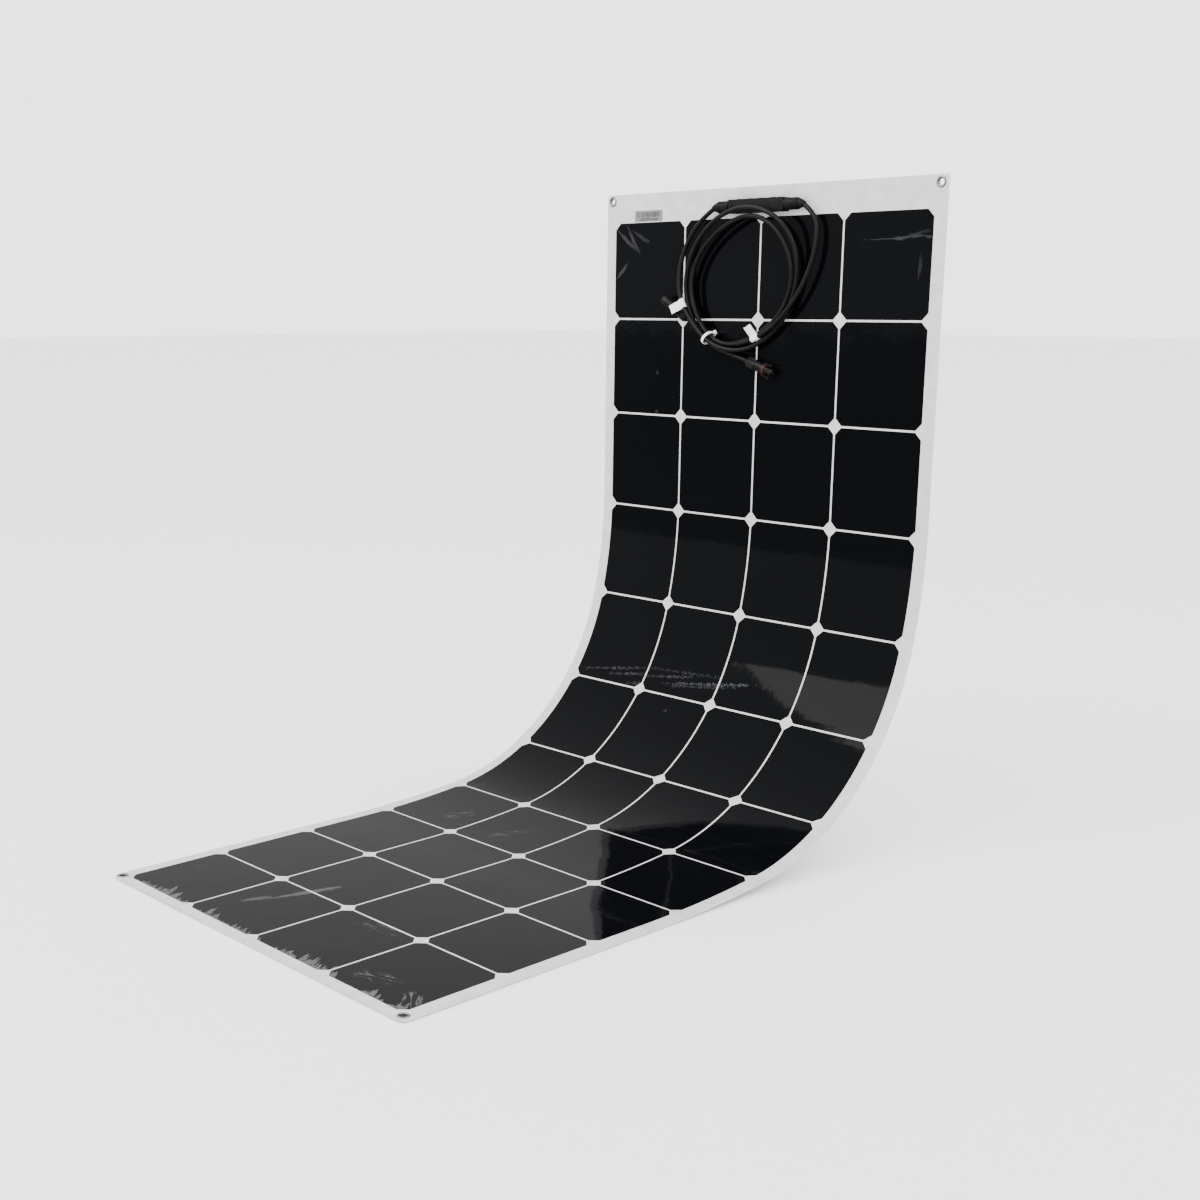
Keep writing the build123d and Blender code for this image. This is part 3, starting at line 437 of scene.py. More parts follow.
# ---- finishes -------------------------------------------------------------------------------------
@dataclass
class Groups:
    """Shader node groups that several finishes share, each built once; scales are per metre."""

    broad_share: float = 0.12
    ripple_scale: float = 130.0
    ripple_reach: float = 0.9
    tooth_scale: float = 130.0
    cluster_scale: float = 14.0
    lace_scale: float = 240.0
    shortest_pocket: float = 0.4 * MM
    pocket_edge: float = 0.9 * MM
    wave_scale: float = 9.0
    dent_scale: float = 48.0
    dent_share: float = 0.14
    haze_scale: float = 5.0

    def __post_init__(self) -> None:
        """Build the grain, the streaks and the film's marks."""
        self.grain = self._grain()
        self.streaks = self._streaks()
        self.film = self._film()

    def _grain(self) -> bpy.types.NodeTree:
        """Fine grain of a moulded or painted surface: a shade, a roughness and a height."""
        inputs = [("Vector", "NodeSocketVector", None), ("Size", "NodeSocketFloat", 0.002),
                  ("Roughness", "NodeSocketFloat", 0.5), ("Spread", "NodeSocketFloat", 0.2)]
        outputs = [(name, "NodeSocketFloat") for name in ("Shade", "Roughness", "Height")]
        graph, given, out = group_tree("ShaderNodeTree", "surface_grain", inputs, outputs)
        scale = graph.math("DIVIDE", 1.0, given.outputs["Size"])
        fine = graph.noise(given.outputs["Vector"], scale, 3.0)
        broad = graph.noise(given.outputs["Vector"], graph.math("MULTIPLY", scale, self.broad_share), 2.0)
        change = graph.math("MULTIPLY", graph.math("SUBTRACT", broad, 0.5), given.outputs["Spread"])
        graph.feed(out, {"Shade": graph.ramp(broad, 0.3, 0.7)})
        graph.feed(out, {"Roughness": graph.math("ADD", given.outputs["Roughness"], change)})
        graph.feed(out, {"Height": fine})
        return graph.tree

    def _streaks(self) -> bpy.types.NodeTree:
        """Thin lines that wander through an oval patch of the sheet."""
        inputs = [("Vector", "NodeSocketVector", None), ("Centre", "NodeSocketVector", None),
                  ("Turn", "NodeSocketFloat", 0.0), ("Reach", "NodeSocketVector", None),
                  ("Stretch", "NodeSocketFloat", 0.1), ("Scale", "NodeSocketFloat", 100.0),
                  ("Line", "NodeSocketFloat", 0.03), ("Single", "NodeSocketFloat", 0.0)]
        outputs = [("Mask", "NodeSocketFloat")]
        graph, given, out = group_tree("ShaderNodeTree", "streak_patch", inputs, outputs)
        get = given.outputs
        turned = graph.add("ShaderNodeVectorRotate", {"Vector": get["Vector"], "Center": get["Centre"],
                                                      "Angle": graph.math("MULTIPLY", get["Turn"], -1.0)})
        local = graph.vector("SUBTRACT", turned.outputs[0], get["Centre"]).outputs[0]
        ripple = graph.noise(get["Vector"], self.ripple_scale, 2.0)
        share = graph.vector("DIVIDE", local, get["Reach"])
        uneven = graph.math("MULTIPLY", graph.math("SUBTRACT", ripple, 0.5), self.ripple_reach)
        ragged = graph.math("ADD", graph.vector("LENGTH", share.outputs[0]).outputs["Value"], uneven)
        patch = graph.ramp(ragged, 1.0, 0.55)
        parts = graph.add("ShaderNodeSeparateXYZ", {0: local})
        long = graph.math("MULTIPLY", parts.outputs[0], get["Stretch"])
        drawn = graph.add("ShaderNodeCombineXYZ", {"X": long, "Y": parts.outputs[1]})
        wander = graph.noise(drawn.outputs[0], get["Scale"], 3.0)
        kept = graph.math("MULTIPLY", parts.outputs[1], get["Single"])
        off = graph.math("ABSOLUTE", graph.math("ADD", graph.math("SUBTRACT", wander, 0.5), kept))
        line = graph.ramp(off, get["Line"], 0.0)
        graph.feed(out, {"Mask": graph.math("MULTIPLY", patch, line)})
        return graph.tree

    def _film(self) -> bpy.types.NodeTree:
        """Waves of the clear film, and the air pockets along the last cells' lower edge, a mask that the
        cells paint lighter: partly real pockets, partly painted glints.
        """
        inputs = [("Vector", "NodeSocketVector", None), ("Last Edge", "NodeSocketFloat", 1.4),
                  ("Deepest", "NodeSocketFloat", 0.024)]
        outputs = [(name, "NodeSocketFloat") for name in ("Pockets", "Height", "Haze")]
        graph, given, out = group_tree("ShaderNodeTree", "clear_film", inputs, outputs)
        parts = graph.add("ShaderNodeSeparateXYZ", {0: given.outputs["Vector"]})
        above = graph.math("ADD", parts.outputs[1], given.outputs["Last Edge"])
        leaning = graph.math("ADD", parts.outputs[0], graph.math("MULTIPLY", above, 0.5))
        teeth = graph.add("ShaderNodeCombineXYZ", {"X": leaning})
        tooth = graph.ramp(graph.noise(teeth.outputs[0], self.tooth_scale, 3.0), 0.36, 0.66)
        cluster = graph.ramp(graph.noise(teeth.outputs[0], self.cluster_scale, 1.0), 0.42, 0.6, 0.06, 1.0)
        height = graph.math("MULTIPLY", graph.math("MULTIPLY", tooth, cluster), given.outputs["Deepest"])
        height = graph.math("ADD", height, self.shortest_pocket)
        inside = graph.ramp(graph.math("SUBTRACT", height, above), 0.0, self.pocket_edge)
        lace = graph.noise(given.outputs["Vector"], self.lace_scale, 3.0)
        patchy = graph.ramp(lace, 0.3, 0.62, 0.45, 1.0)
        # mask of the air pockets, which the cells paint lighter: partly real pockets, partly painted glints
        # along the bottom edge
        graph.feed(out, {"Pockets": graph.math("MULTIPLY", inside, patchy)})
        dents = graph.noise(given.outputs["Vector"], self.dent_scale, 2.0)
        waves = graph.math("ADD", graph.noise(given.outputs["Vector"], self.wave_scale, 2.0),
                           graph.math("MULTIPLY", dents, self.dent_share))
        graph.feed(out, {"Height": waves})
        haze = graph.ramp(graph.noise(given.outputs["Vector"], self.haze_scale, 3.0), 0.35, 0.75)
        graph.feed(out, {"Haze": haze})
        return graph.tree


def new_material(name: str) -> tuple[bpy.types.Material, Graph, bpy.types.Node]:
    """Empty material with its graph and its main shader."""
    material = bpy.data.materials.new(name)
    material.use_nodes = True
    return material, Graph(material.node_tree), material.node_tree.nodes["Principled BSDF"]


@dataclass(frozen=True)
class Finish:
    """One moulded, metal, paper or rubber finish with a fine grain."""

    name: str
    colour: Colour
    roughness: float = 0.5
    metallic: float = 0.0
    worn: float = 0.3
    grain: float = 1.2 * MM
    relief: float = 0.02 * MM
    coat: float = 0.0
    coat_roughness: float = 0.2
    dust: float = 0.001
    specular: float = 0.5

    def build(self, groups: Groups) -> bpy.types.Material:
        """Make the material.

        Args:
            groups: the shared node groups.

        Returns:
            The material.
        """
        material, graph, shader = new_material(self.name)
        grain = graph.add("ShaderNodeGroup", {
            "Vector": graph.add("ShaderNodeTexCoord").outputs["Object"],
            "Size": self.grain, "Roughness": self.roughness, "Spread": self.worn,
        }, node_tree=groups.grain)
        lighter = tuple(min(c * (1 + self.worn) + self.dust, 1.0) for c in self.colour)
        bump = graph.add("ShaderNodeBump", {"Height": grain.outputs["Height"], "Distance": self.relief})
        graph.feed(shader, {
            "Base Color": graph.mix(grain.outputs["Shade"], self.colour, lighter),
            "Roughness": grain.outputs["Roughness"], "Normal": bump.outputs[0],
            "Metallic": self.metallic, "Coat Weight": self.coat,
            "Coat Roughness": self.coat_roughness, "Specular IOR Level": self.specular,
        })
        return material


@dataclass(frozen=True)
class Streaks:
    """One patch of scratches and creases in the film, drawn in a lighter colour that is partly painted
    glint; lengths in millimetres on the flat sheet.
    """

    across: float
    down: float
    half_length: float
    half_width: float
    turn: float = 0.0
    stretch: float = 0.12
    scale: float = 160.0
    line: float = 0.035
    strength: float = 0.6
    single: float = 0.0

    def inputs(self) -> dict[str, Input]:
        """Inputs of the streak group for this patch."""
        return {"Centre": (self.across * MM, -self.down * MM, 0.0),
                "Reach": (self.half_length * MM, self.half_width * MM, 1.0),
                "Turn": math.radians(self.turn), "Stretch": self.stretch, "Scale": self.scale,
                "Line": self.line, "Single": self.single}


# Lighter patches on the cells: real specks and scratches, and painted glints along the soft folds and the
# crease.
SCUFFS_AND_GLINTS = (
    # soft folds in the top corners, drawn as painted glints along the folds
    Streaks(-234, 59, 30, 7, turn=-38, stretch=0.2, scale=60, line=0.09, strength=0.26, single=60),
    Streaks(-222, 58, 30, 7, turn=-58, stretch=0.2, scale=60, line=0.08, strength=0.24, single=60),
    Streaks(-206, 56, 22, 7, turn=-28, stretch=0.2, scale=60, line=0.09, strength=0.16, single=60),
    Streaks(-242, 101, 18, 7, turn=44, stretch=0.2, scale=60, line=0.08, strength=0.26, single=60),
    Streaks(208, 69, 54, 7, turn=1, stretch=0.3, scale=60, line=0.08, strength=0.3, single=70),
    Streaks(226, 66, 32, 8, turn=8, stretch=0.3, scale=60, line=0.08, strength=0.16, single=60),
    Streaks(238, 103, 18, 7, turn=84, stretch=0.3, scale=60, line=0.08, strength=0.13, single=60),
    # specks
    Streaks(-172, 236, 3, 4, scale=200, line=0.12, strength=0.4),
    Streaks(-172, 287, 3, 3, scale=200, line=0.12, strength=0.5),
    Streaks(-66, 697, 3, 4, scale=200, line=0.12, strength=0.4),
    # the crease across row 5, drawn as a painted glint along the crease
    Streaks(-190, 652, 66, 6, turn=10, stretch=0.9, scale=260, line=0.06, strength=0.5, single=58),
    Streaks(-65, 637, 68, 6, turn=3, stretch=0.9, scale=260, line=0.06, strength=0.34, single=58),
    Streaks(-163, 656, 38, 6, turn=10, stretch=0.9, scale=280, line=0.06, strength=0.55, single=58),
    Streaks(-88, 647, 50, 6, turn=9, stretch=0.9, scale=280, line=0.06, strength=0.55, single=58),
    Streaks(-18, 646, 78, 7, turn=9, stretch=0.9, scale=280, line=0.075, strength=0.7, single=58),
    Streaks(-30, 652, 60, 6, turn=9, stretch=0.9, scale=300, line=0.05, strength=0.5, single=58),
    Streaks(-142, 667, 14, 8, turn=10, stretch=0.9, scale=280, line=0.06, strength=0.5, single=58),
    # scratches on the lying rows
    Streaks(-230, 917, 12, 6, turn=60, scale=160, line=0.06, strength=0.4),
    Streaks(-166, 1008, 26, 12, turn=62, stretch=0.2, scale=120, line=0.04, strength=0.5),
    Streaks(-66, 1010, 38, 10, turn=55, stretch=0.2, scale=120, line=0.04, strength=0.45),
    Streaks(-228, 1356, 12, 6, turn=30, stretch=0.2, scale=100, line=0.07, strength=0.3),
    Streaks(-70, 1316, 50, 7, turn=74, stretch=0.3, scale=40, line=0.3, strength=0.6, single=50),
    Streaks(-92, 1370, 22, 7, turn=68, stretch=0.3, scale=60, line=0.24, strength=0.4, single=50),
    Streaks(72, 1322, 34, 13, turn=12, stretch=0.1, scale=150, line=0.03, strength=0.5),
    Streaks(172, 1404, 36, 12, turn=18, stretch=0.25, scale=100, line=0.03, strength=0.7),
    Streaks(238, 1414, 22, 13, turn=-38, stretch=0.15, scale=120, line=0.06, strength=0.8),
)


@dataclass(frozen=True)
class CellFinish:
    """Near-black silicon under clear film, with the film's air pockets, scratches and creases painted
    lighter: partly real marks, partly painted glints.
    """

    name: str = "cell_black"
    colour: Colour = (0.0012, 0.0014, 0.0019)
    # lighter grey of the marks: partly their own colour, partly painted glints of light
    mark_and_glint_colour: Colour = (0.085, 0.088, 0.092)
    roughness: float = 0.045
    marked_roughness: float = 0.4
    specular: float = 0.11
    last_edge: float = 1.4375
    haze: float = 0.03
    relief: float = 0.5 * MM

    def build(self, groups: Groups) -> bpy.types.Material:
        """Make the material.

        Args:
            groups: the shared node groups.

        Returns:
            The material.
        """
        material, graph, shader = new_material(self.name)
        flat = graph.add("ShaderNodeAttribute", attribute_name="flat").outputs["Vector"]
        film = graph.add("ShaderNodeGroup", {"Vector": flat, "Last Edge": self.last_edge},
                         node_tree=groups.film)
        marks_and_glints = film.outputs["Pockets"]
        for scuff_and_glint in SCUFFS_AND_GLINTS:
            patch = graph.add("ShaderNodeGroup", {"Vector": flat, **scuff_and_glint.inputs()},
                              node_tree=groups.streaks)
            marks_and_glints = graph.math("MAXIMUM", marks_and_glints, graph.math("MULTIPLY", patch.outputs[0], scuff_and_glint.strength))
        gloss = graph.ramp(marks_and_glints, 0.0, 1.0, self.roughness, self.marked_roughness)
        hazy = graph.math("MULTIPLY", film.outputs["Haze"], self.haze)
        bump = graph.add("ShaderNodeBump", {"Height": film.outputs["Height"], "Distance": self.relief})
        # the marks mix in the lighter grey: real pockets and scratches, with painted glints on the folds,
        # the crease and the pockets
        graph.feed(shader, {
            "Base Color": graph.mix(marks_and_glints, self.colour, self.mark_and_glint_colour),
            "Roughness": graph.math("ADD", gloss, hazy), "Normal": bump.outputs[0],
            "Specular IOR Level": self.specular,
        })
        return material


@dataclass(frozen=True)
class LaminateFinish:
    """White backing under clear film on the cell side, and a matt woven white behind; glossy rays see it in
    a painted dark grey, a painted dim reflection.
    """

    name: str = "white_backsheet"
    colour: Colour = (0.56, 0.565, 0.573)
    shaded: Colour = (0.50, 0.505, 0.513)
    # dark grey that glossy rays see instead of the white: a painted dim reflection of the sheet in the cells
    painted_dim_reflection: Colour = (0.13, 0.132, 0.135)
    front_roughness: float = 0.28
    back_roughness: float = 0.6
    weave: float = 0.02
    grain: float = 2.4 * MM
    relief: float = 0.5 * MM
    front_rise: float = 1.0 * MM

    def build(self, groups: Groups) -> bpy.types.Material:
        """Make the material.

        Args:
            groups: the shared node groups.

        Returns:
            The material.
        """
        material, graph, shader = new_material(self.name)
        flat = graph.add("ShaderNodeAttribute", attribute_name="flat").outputs["Vector"]
        grain = graph.add("ShaderNodeGroup", {"Vector": flat, "Size": self.grain,
                                              "Roughness": self.front_roughness},
                          node_tree=groups.grain)
        film = graph.add("ShaderNodeGroup", {"Vector": flat}, node_tree=groups.film)
        white = graph.mix(grain.outputs["Shade"], self.shaded, self.colour)
        glossy = graph.add("ShaderNodeLightPath").outputs["Is Glossy Ray"]
        rise = graph.add("ShaderNodeSeparateXYZ", {0: flat}).outputs[2]
        behind = graph.math("SUBTRACT", 1.0, graph.ramp(rise, 0.0, self.front_rise))
        rough = graph.math("MULTIPLY", behind, self.back_roughness - self.front_roughness)
        weave = graph.math("MULTIPLY", grain.outputs["Height"], self.weave)
        height = graph.math("ADD", film.outputs["Height"], weave)
        bump = graph.add("ShaderNodeBump", {"Height": height, "Distance": self.relief})
        # Base Color swaps to the painted dim reflection colour for glossy rays
        graph.feed(shader, {
            "Base Color": graph.mix(glossy, white, self.painted_dim_reflection),
            "Roughness": graph.math("ADD", grain.outputs["Roughness"], rough),
            "Normal": bump.outputs[0],
        })
        return material


class Slot(Enum):
    """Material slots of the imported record."""

    BACKSHEET = "white_backsheet"
    ENCAPSULANT = "encapsulant"
    FILM = "front_film"
    CELL = "cell_black"
    COPPER = "copper_ribbon"
    NICKEL = "nickel_plate"
    LABEL = "label_paper"
    FLAG = "flag_paper"
    TIE = "tie_nylon"
    JACKET = "cable_jacket"
    BOX = "box_plastic"
    RUBBER = "black_rubber"
    ADHESIVE = "adhesive"
    DIODE = "diode_black"
    RING = "orange_rubber"
    CONTACT = "tin_contact"
    CONNECTOR = "connector_plastic"


FINISHES = {
    Slot.BACKSHEET: LaminateFinish(),
    Slot.CELL: CellFinish(),
    Slot.ENCAPSULANT: Finish("encapsulant", (0.85, 0.85, 0.83), 0.4, worn=0.05),
    Slot.FILM: Finish("front_film", (0.82, 0.83, 0.85), 0.15, worn=0.05),
    Slot.COPPER: Finish("copper_ribbon", (0.78, 0.48, 0.32), 0.3, metallic=1.0),
    Slot.NICKEL: Finish("nickel_plate", (0.42, 0.42, 0.43), 0.2, metallic=1.0, grain=0.8 * MM),
    Slot.LABEL: Finish("label_paper", (0.16, 0.163, 0.166), 0.55, worn=0.15, grain=0.6 * MM),
    Slot.FLAG: Finish("flag_paper", (0.84, 0.84, 0.85), 0.6, worn=0.05, grain=0.5 * MM),
    Slot.TIE: Finish("tie_nylon", (0.82, 0.82, 0.80), 0.35, worn=0.08, coat=0.3),
    Slot.JACKET: Finish("cable_jacket", (0.0035, 0.0035, 0.0038), 0.38, worn=0.25, grain=0.9 * MM,
                        relief=0.03 * MM, specular=0.3),
    Slot.BOX: Finish("box_plastic", (0.0022, 0.0022, 0.0025), 0.42, grain=0.5 * MM,
                     relief=0.03 * MM, specular=0.3),
    Slot.RUBBER: Finish("black_rubber", (0.003, 0.003, 0.0033), 0.45, grain=0.7 * MM,
                        relief=0.04 * MM, specular=0.3),
    Slot.ADHESIVE: Finish("adhesive", (0.70, 0.70, 0.69), 0.45, worn=0.1),
    Slot.DIODE: Finish("diode_black", (0.02, 0.02, 0.02), 0.4),
    Slot.RING: Finish("orange_rubber", (0.09, 0.022, 0.012), 0.45, worn=0.2),
    Slot.CONTACT: Finish("tin_contact", (0.66, 0.66, 0.64), 0.25, metallic=1.0),
    Slot.CONNECTOR: Finish("connector_plastic", (0.0022, 0.0022, 0.0025), 0.36, grain=0.5 * MM,
                           relief=0.03 * MM, specular=0.3),
}


def paint(piece: bpy.types.Object, material: bpy.types.Material) -> bpy.types.Object:
    """Make one material the only one on a piece."""
    piece.data.materials.clear()
    piece.data.materials.append(material)
    return piece


class Wardrobe:
    """Builds the finishes and dresses pieces with them."""

    def __init__(self) -> None:
        """Build every finish of the record once."""
        groups = Groups()
        self.materials = {slot: finish.build(groups) for slot, finish in FINISHES.items()}
        self.ink = Finish("label_ink", (0.012, 0.012, 0.013), 0.5, worn=0.2).build(groups)

    def dress(self, piece: bpy.types.Object, slot: Slot) -> bpy.types.Object:
        """Give a piece the finish of one slot."""
        paint(piece, self.materials[slot])
        return piece

    def dress_frame(self, frame: dict[str, object]) -> None:
        """Give every carried-over node the finish of its own slot."""
        for entry in frame["record"]["subparts"]:
            paint(frame["nodes"][entry["node"]], self.materials[Slot(entry["material_slot"])])


# ---- the sheet ------------------------------------------------------------------------------------
@dataclass
class Bend:
    """The bent middle surface of the sheet."""

    thickness: float = 2.5 * MM
    above_eyelets: float = 8.5 * MM
    straight: float = 406 * MM
    stretches: tuple[tuple[float, float], ...] = ((140 * MM, 14.0), (384 * MM, 70.0), (172 * MM, 6.0))
    foot: float = 348 * MM
    step: float = 1.5 * MM

    @property
    def length(self) -> float:
        """Whole length of the sheet."""
        return self.straight + sum(length for length, _ in self.stretches) + self.foot

    def station(self, down: float) -> tuple[Vector, float]:
        """Point of the middle surface and its slope in radians, at a place down the sheet."""
        y, z, slope, left = -self.thickness / 2, self.above_eyelets, 0.0, down
        for length, turn in ((self.straight, 0.0), *self.stretches, (self.foot, 0.0)):
            step = min(left, length)
            if turn:
                radius = length / math.radians(turn)
                after = slope + step / radius
                y += radius * (math.cos(after) - math.cos(slope))
                z -= radius * (math.sin(after) - math.sin(slope))
                slope = after
            else:
                y -= step * math.sin(slope)
                z -= step * math.cos(slope)
            left -= step
            if left <= 0:
                break
        return Vector((0.0, y, z)), slope

    def profile(self) -> bpy.types.Object:
        """Helper curve down the middle surface, removed once the pieces are bent."""
        count = round(self.length / self.step)
        curve = bpy.data.curves.new("bend_profile", "CURVE")
        curve.dimensions = "3D"
        spline = curve.splines.new("POLY")
        spline.points.add(count)
        for k, point in enumerate(spline.points):
            point.co = (*self.station(self.length * k / count)[0], 1.0)
        return new_object("bend_profile", curve)


@dataclass
class Section:
    """One stretch of the sheet, rigid or bending across a joint."""

    name: str
    start: float
    end: float
    bodies: tuple[str, ...]
    replaced: tuple[str, ...]


@dataclass
class Sheet:
    """The laminate with its cells, in sections that run from the middle of one row to the next."""

    bend: Bend
    wardrobe: Wardrobe
    columns: int = 4
    rows: int = 11
    cell: float = 125 * MM
    gap: float = 2.5 * MM
    corner: float = 8.6 * MM
    top_margin: float = 37.5 * MM
    width: float = 540 * MM
    top_radius: float = 3 * MM
    top_steps: int = 6
    bottom_radius: float = 9 * MM
    bottom_steps: int = 8
    cell_height: float = 0.06 * MM
    cell_depth: float = 0.3 * MM
    hole: float = 4.65 * MM
    hole_steps: int = 48
    eyelet_inset: float = 8.5 * MM
    eyelet_spread: float = 521 * MM
    bend_step: float = 2.5 * MM
    hinged_rows: tuple[int, ...] = (3, 4, 5, 6, 7)
    helpers: list[bpy.types.Object] = field(default_factory=list)

    def __post_init__(self) -> None:
        """Make the helpers that the trees need."""
        self.pitch = self.cell + self.gap
        self.profile = self.bend.profile()
        self.tiles = tile_tree()
        self.follow = bend_tree()
        self.helpers.append(self.profile)

    def row_middle(self, row: int) -> float:
        """Middle of a row of cells, down the sheet; rows count from 1."""
        return self.top_margin + (row - 1) * self.pitch + self.cell / 2

    def sections(self) -> list[Section]:
        """Sections of the sheet, from the top."""
        first, last = self.hinged_rows[0], self.hinged_rows[-1]
        bodies = ["upper", *(f"row_{row}" for row in self.hinged_rows[1:]), "lower"]
        made = [Section("top", 0.0, self.row_middle(first), ("upper",), ("upper",))]
        for row, (above, below) in zip(self.hinged_rows, zip(bodies, bodies[1:])):
            gone = () if below == "lower" else (below,)
            made.append(Section(f"rows_{row}_{row + 1}", self.row_middle(row), self.row_middle(row + 1),
                                (above, below), gone))
        made.append(Section("foot", self.row_middle(last + 1), self.bend.length, ("lower",), ("lower",)))
        return made

    def half_tile(self, lower: bool) -> bpy.types.Object:
        """Half of a cell with two cut corners, as a thin closed tile.

        Args:
            lower: make the half below the row's middle; otherwise the half above it.

        Returns:
            A helper object; Y runs up the sheet from the row's middle.
        """
        half = self.cell / 2
        straight = half - self.corner
        steps = round(straight / self.bend_step)
        places = [straight * k / steps for k in range(steps + 1)] + [half]
        form = bmesh.new()
        high = self.bend.thickness / 2 + self.cell_height
        low = high - self.cell_depth
        rings = []
        for place in places:
            reach = half - (self.corner if place == half else 0.0)
            y = -place if lower else place
            rings.append([Vector((-reach, y, low)), Vector((reach, y, low)), Vector((reach, y, high)),
                          Vector((-reach, y, high))])
        add_rings(form, rings, closed=False)
        helper = mesh_piece("half_cell", form, smooth=False)
        self.helpers.append(helper)
        return helper

    def outline(self, section: Section) -> tuple[list[Point], list[list[Point]]]:
        """Outer edge and eyelet holes of a section's plate, laid flat."""
        half = self.width / 2
        top, bottom = -section.start, -section.end
        corners = [(-half, bottom), (half, bottom), (half, top), (-half, top)]
        holes = []
        if section.name == "foot":
            r = self.bottom_radius
            left = arc((-half + r, bottom + r), r, 180, 270, self.bottom_steps)
            corners[0:2] = left + arc((half - r, bottom + r), r, 270, 360, self.bottom_steps)
            holes = [self.hole_edge(side, bottom + self.eyelet_inset) for side in (-1, 1)]
        if section.name == "top":
            r = self.top_radius
            right = arc((half - r, top - r), r, 0, 90, self.top_steps)
            corners[2:4] = right + arc((-half + r, top - r), r, 90, 180, self.top_steps)
            holes = [self.hole_edge(side, top - self.eyelet_inset) for side in (-1, 1)]
        return corners, holes

    def hole_edge(self, side: int, y: float) -> list[Point]:
        """Edge of one eyelet hole."""
        return arc((side * self.eyelet_spread / 2, y), self.hole, 0, 360, self.hole_steps)[:-1]

    def place(self, piece: bpy.types.Object, section: Section) -> None:
        """Let a piece ride on its section's body; a piece between two bodies is only baked in place, riding
        on none.
        """
        if len(section.bodies) == 1:
            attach(piece, section.bodies[0])
            return
        start = self.bend.station(section.start)[0]
        end = self.bend.station(section.end)[0]
        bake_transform(piece)

    def build(self) -> None:
        """Make the plate and the cells of every section."""
        upper_half = self.half_tile(lower=False)
        lower_half = self.half_tile(lower=True)
        half_thick = self.bend.thickness / 2
        plain = {"Columns": self.columns, "Across": self.pitch, "Down": self.pitch}
        for section in self.sections():
            corners, holes = self.outline(section)
            form = bmesh.new()
            clear = self.bottom_radius + 2 * self.eyelet_inset if section.name == "foot" else 0.0
            cuts = []
            if section.name != "top":
                count = int((section.end - section.start - clear) / self.bend_step)
                cuts = [-section.start - k * self.bend_step for k in range(1, count)]
            plate(form, corners, holes, cuts, -half_thick, half_thick)
            laminate = mesh_piece(f"laminate_{section.name}", form)
            finish = self.wardrobe.materials[Slot.BACKSHEET]
            apply_trees(laminate, (self.follow, {"Profile": self.profile, "Finish": finish}))

            middles = [self.row_middle(row) for row in range(1, self.rows + 1)]
            uppers = [middle for middle in middles if section.start < middle <= section.end + MM]
            lowers = [middle for middle in middles if section.start - MM <= middle < section.end]
            cells = mesh_piece(f"cells_{section.name}", bmesh.new(), smooth=False)
            steps = []
            for tile, rows in ((upper_half, uppers), (lower_half, lowers)):
                first = {"Tile": tile, "Rows": len(rows), "First": rows[0]}
                steps.append((self.tiles, {**plain, **first}))
            finish = self.wardrobe.materials[Slot.CELL]
            steps.append((self.follow, {"Profile": self.profile, "Finish": finish}))
            apply_trees(cells, *steps)

            layers = ("backsheet", "encapsulant", "front_film")
            for piece, slot, kinds in ((laminate, Slot.BACKSHEET, layers),
                                       (cells, Slot.CELL, ("cells", "cell_joints"))):
                self.place(piece, section)
                for body in section.replaced:
                    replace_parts(piece, *(f"{kind}_{body}" for kind in kinds))
                LOG.info("%s: %d faces", piece.name, len(piece.data.polygons))

    def flat_copies(self, name: str, tile: bpy.types.Object, slot: Slot,
                    **layout: float) -> bpy.types.Object:
        """Lay copies of a small flat tile on the sheet and dress them.

        Args:
            name: the new piece's name.
            tile: helper object of one copy.
            slot: the finish's slot.
            layout: inputs of the tile tree, with spaces as underscores.

        Returns:
            The new piece, at rest and riding on nothing yet.
        """
        self.helpers.append(tile)
        piece = mesh_piece(name, bmesh.new(), smooth=False)
        values = {key.replace("_", " "): value for key, value in layout.items()}
        finish = self.wardrobe.materials[slot]
        apply_trees(piece, (self.tiles, {"Tile": tile, **values}),
                    (self.follow, {"Profile": self.profile, "Finish": finish}))
        LOG.info("%s: %d faces", name, len(piece.data.polygons))
        return piece

    def clear_helpers(self) -> None:
        """Remove the profile and the tiles."""
        for helper in self.helpers:
            bpy.data.objects.remove(helper)


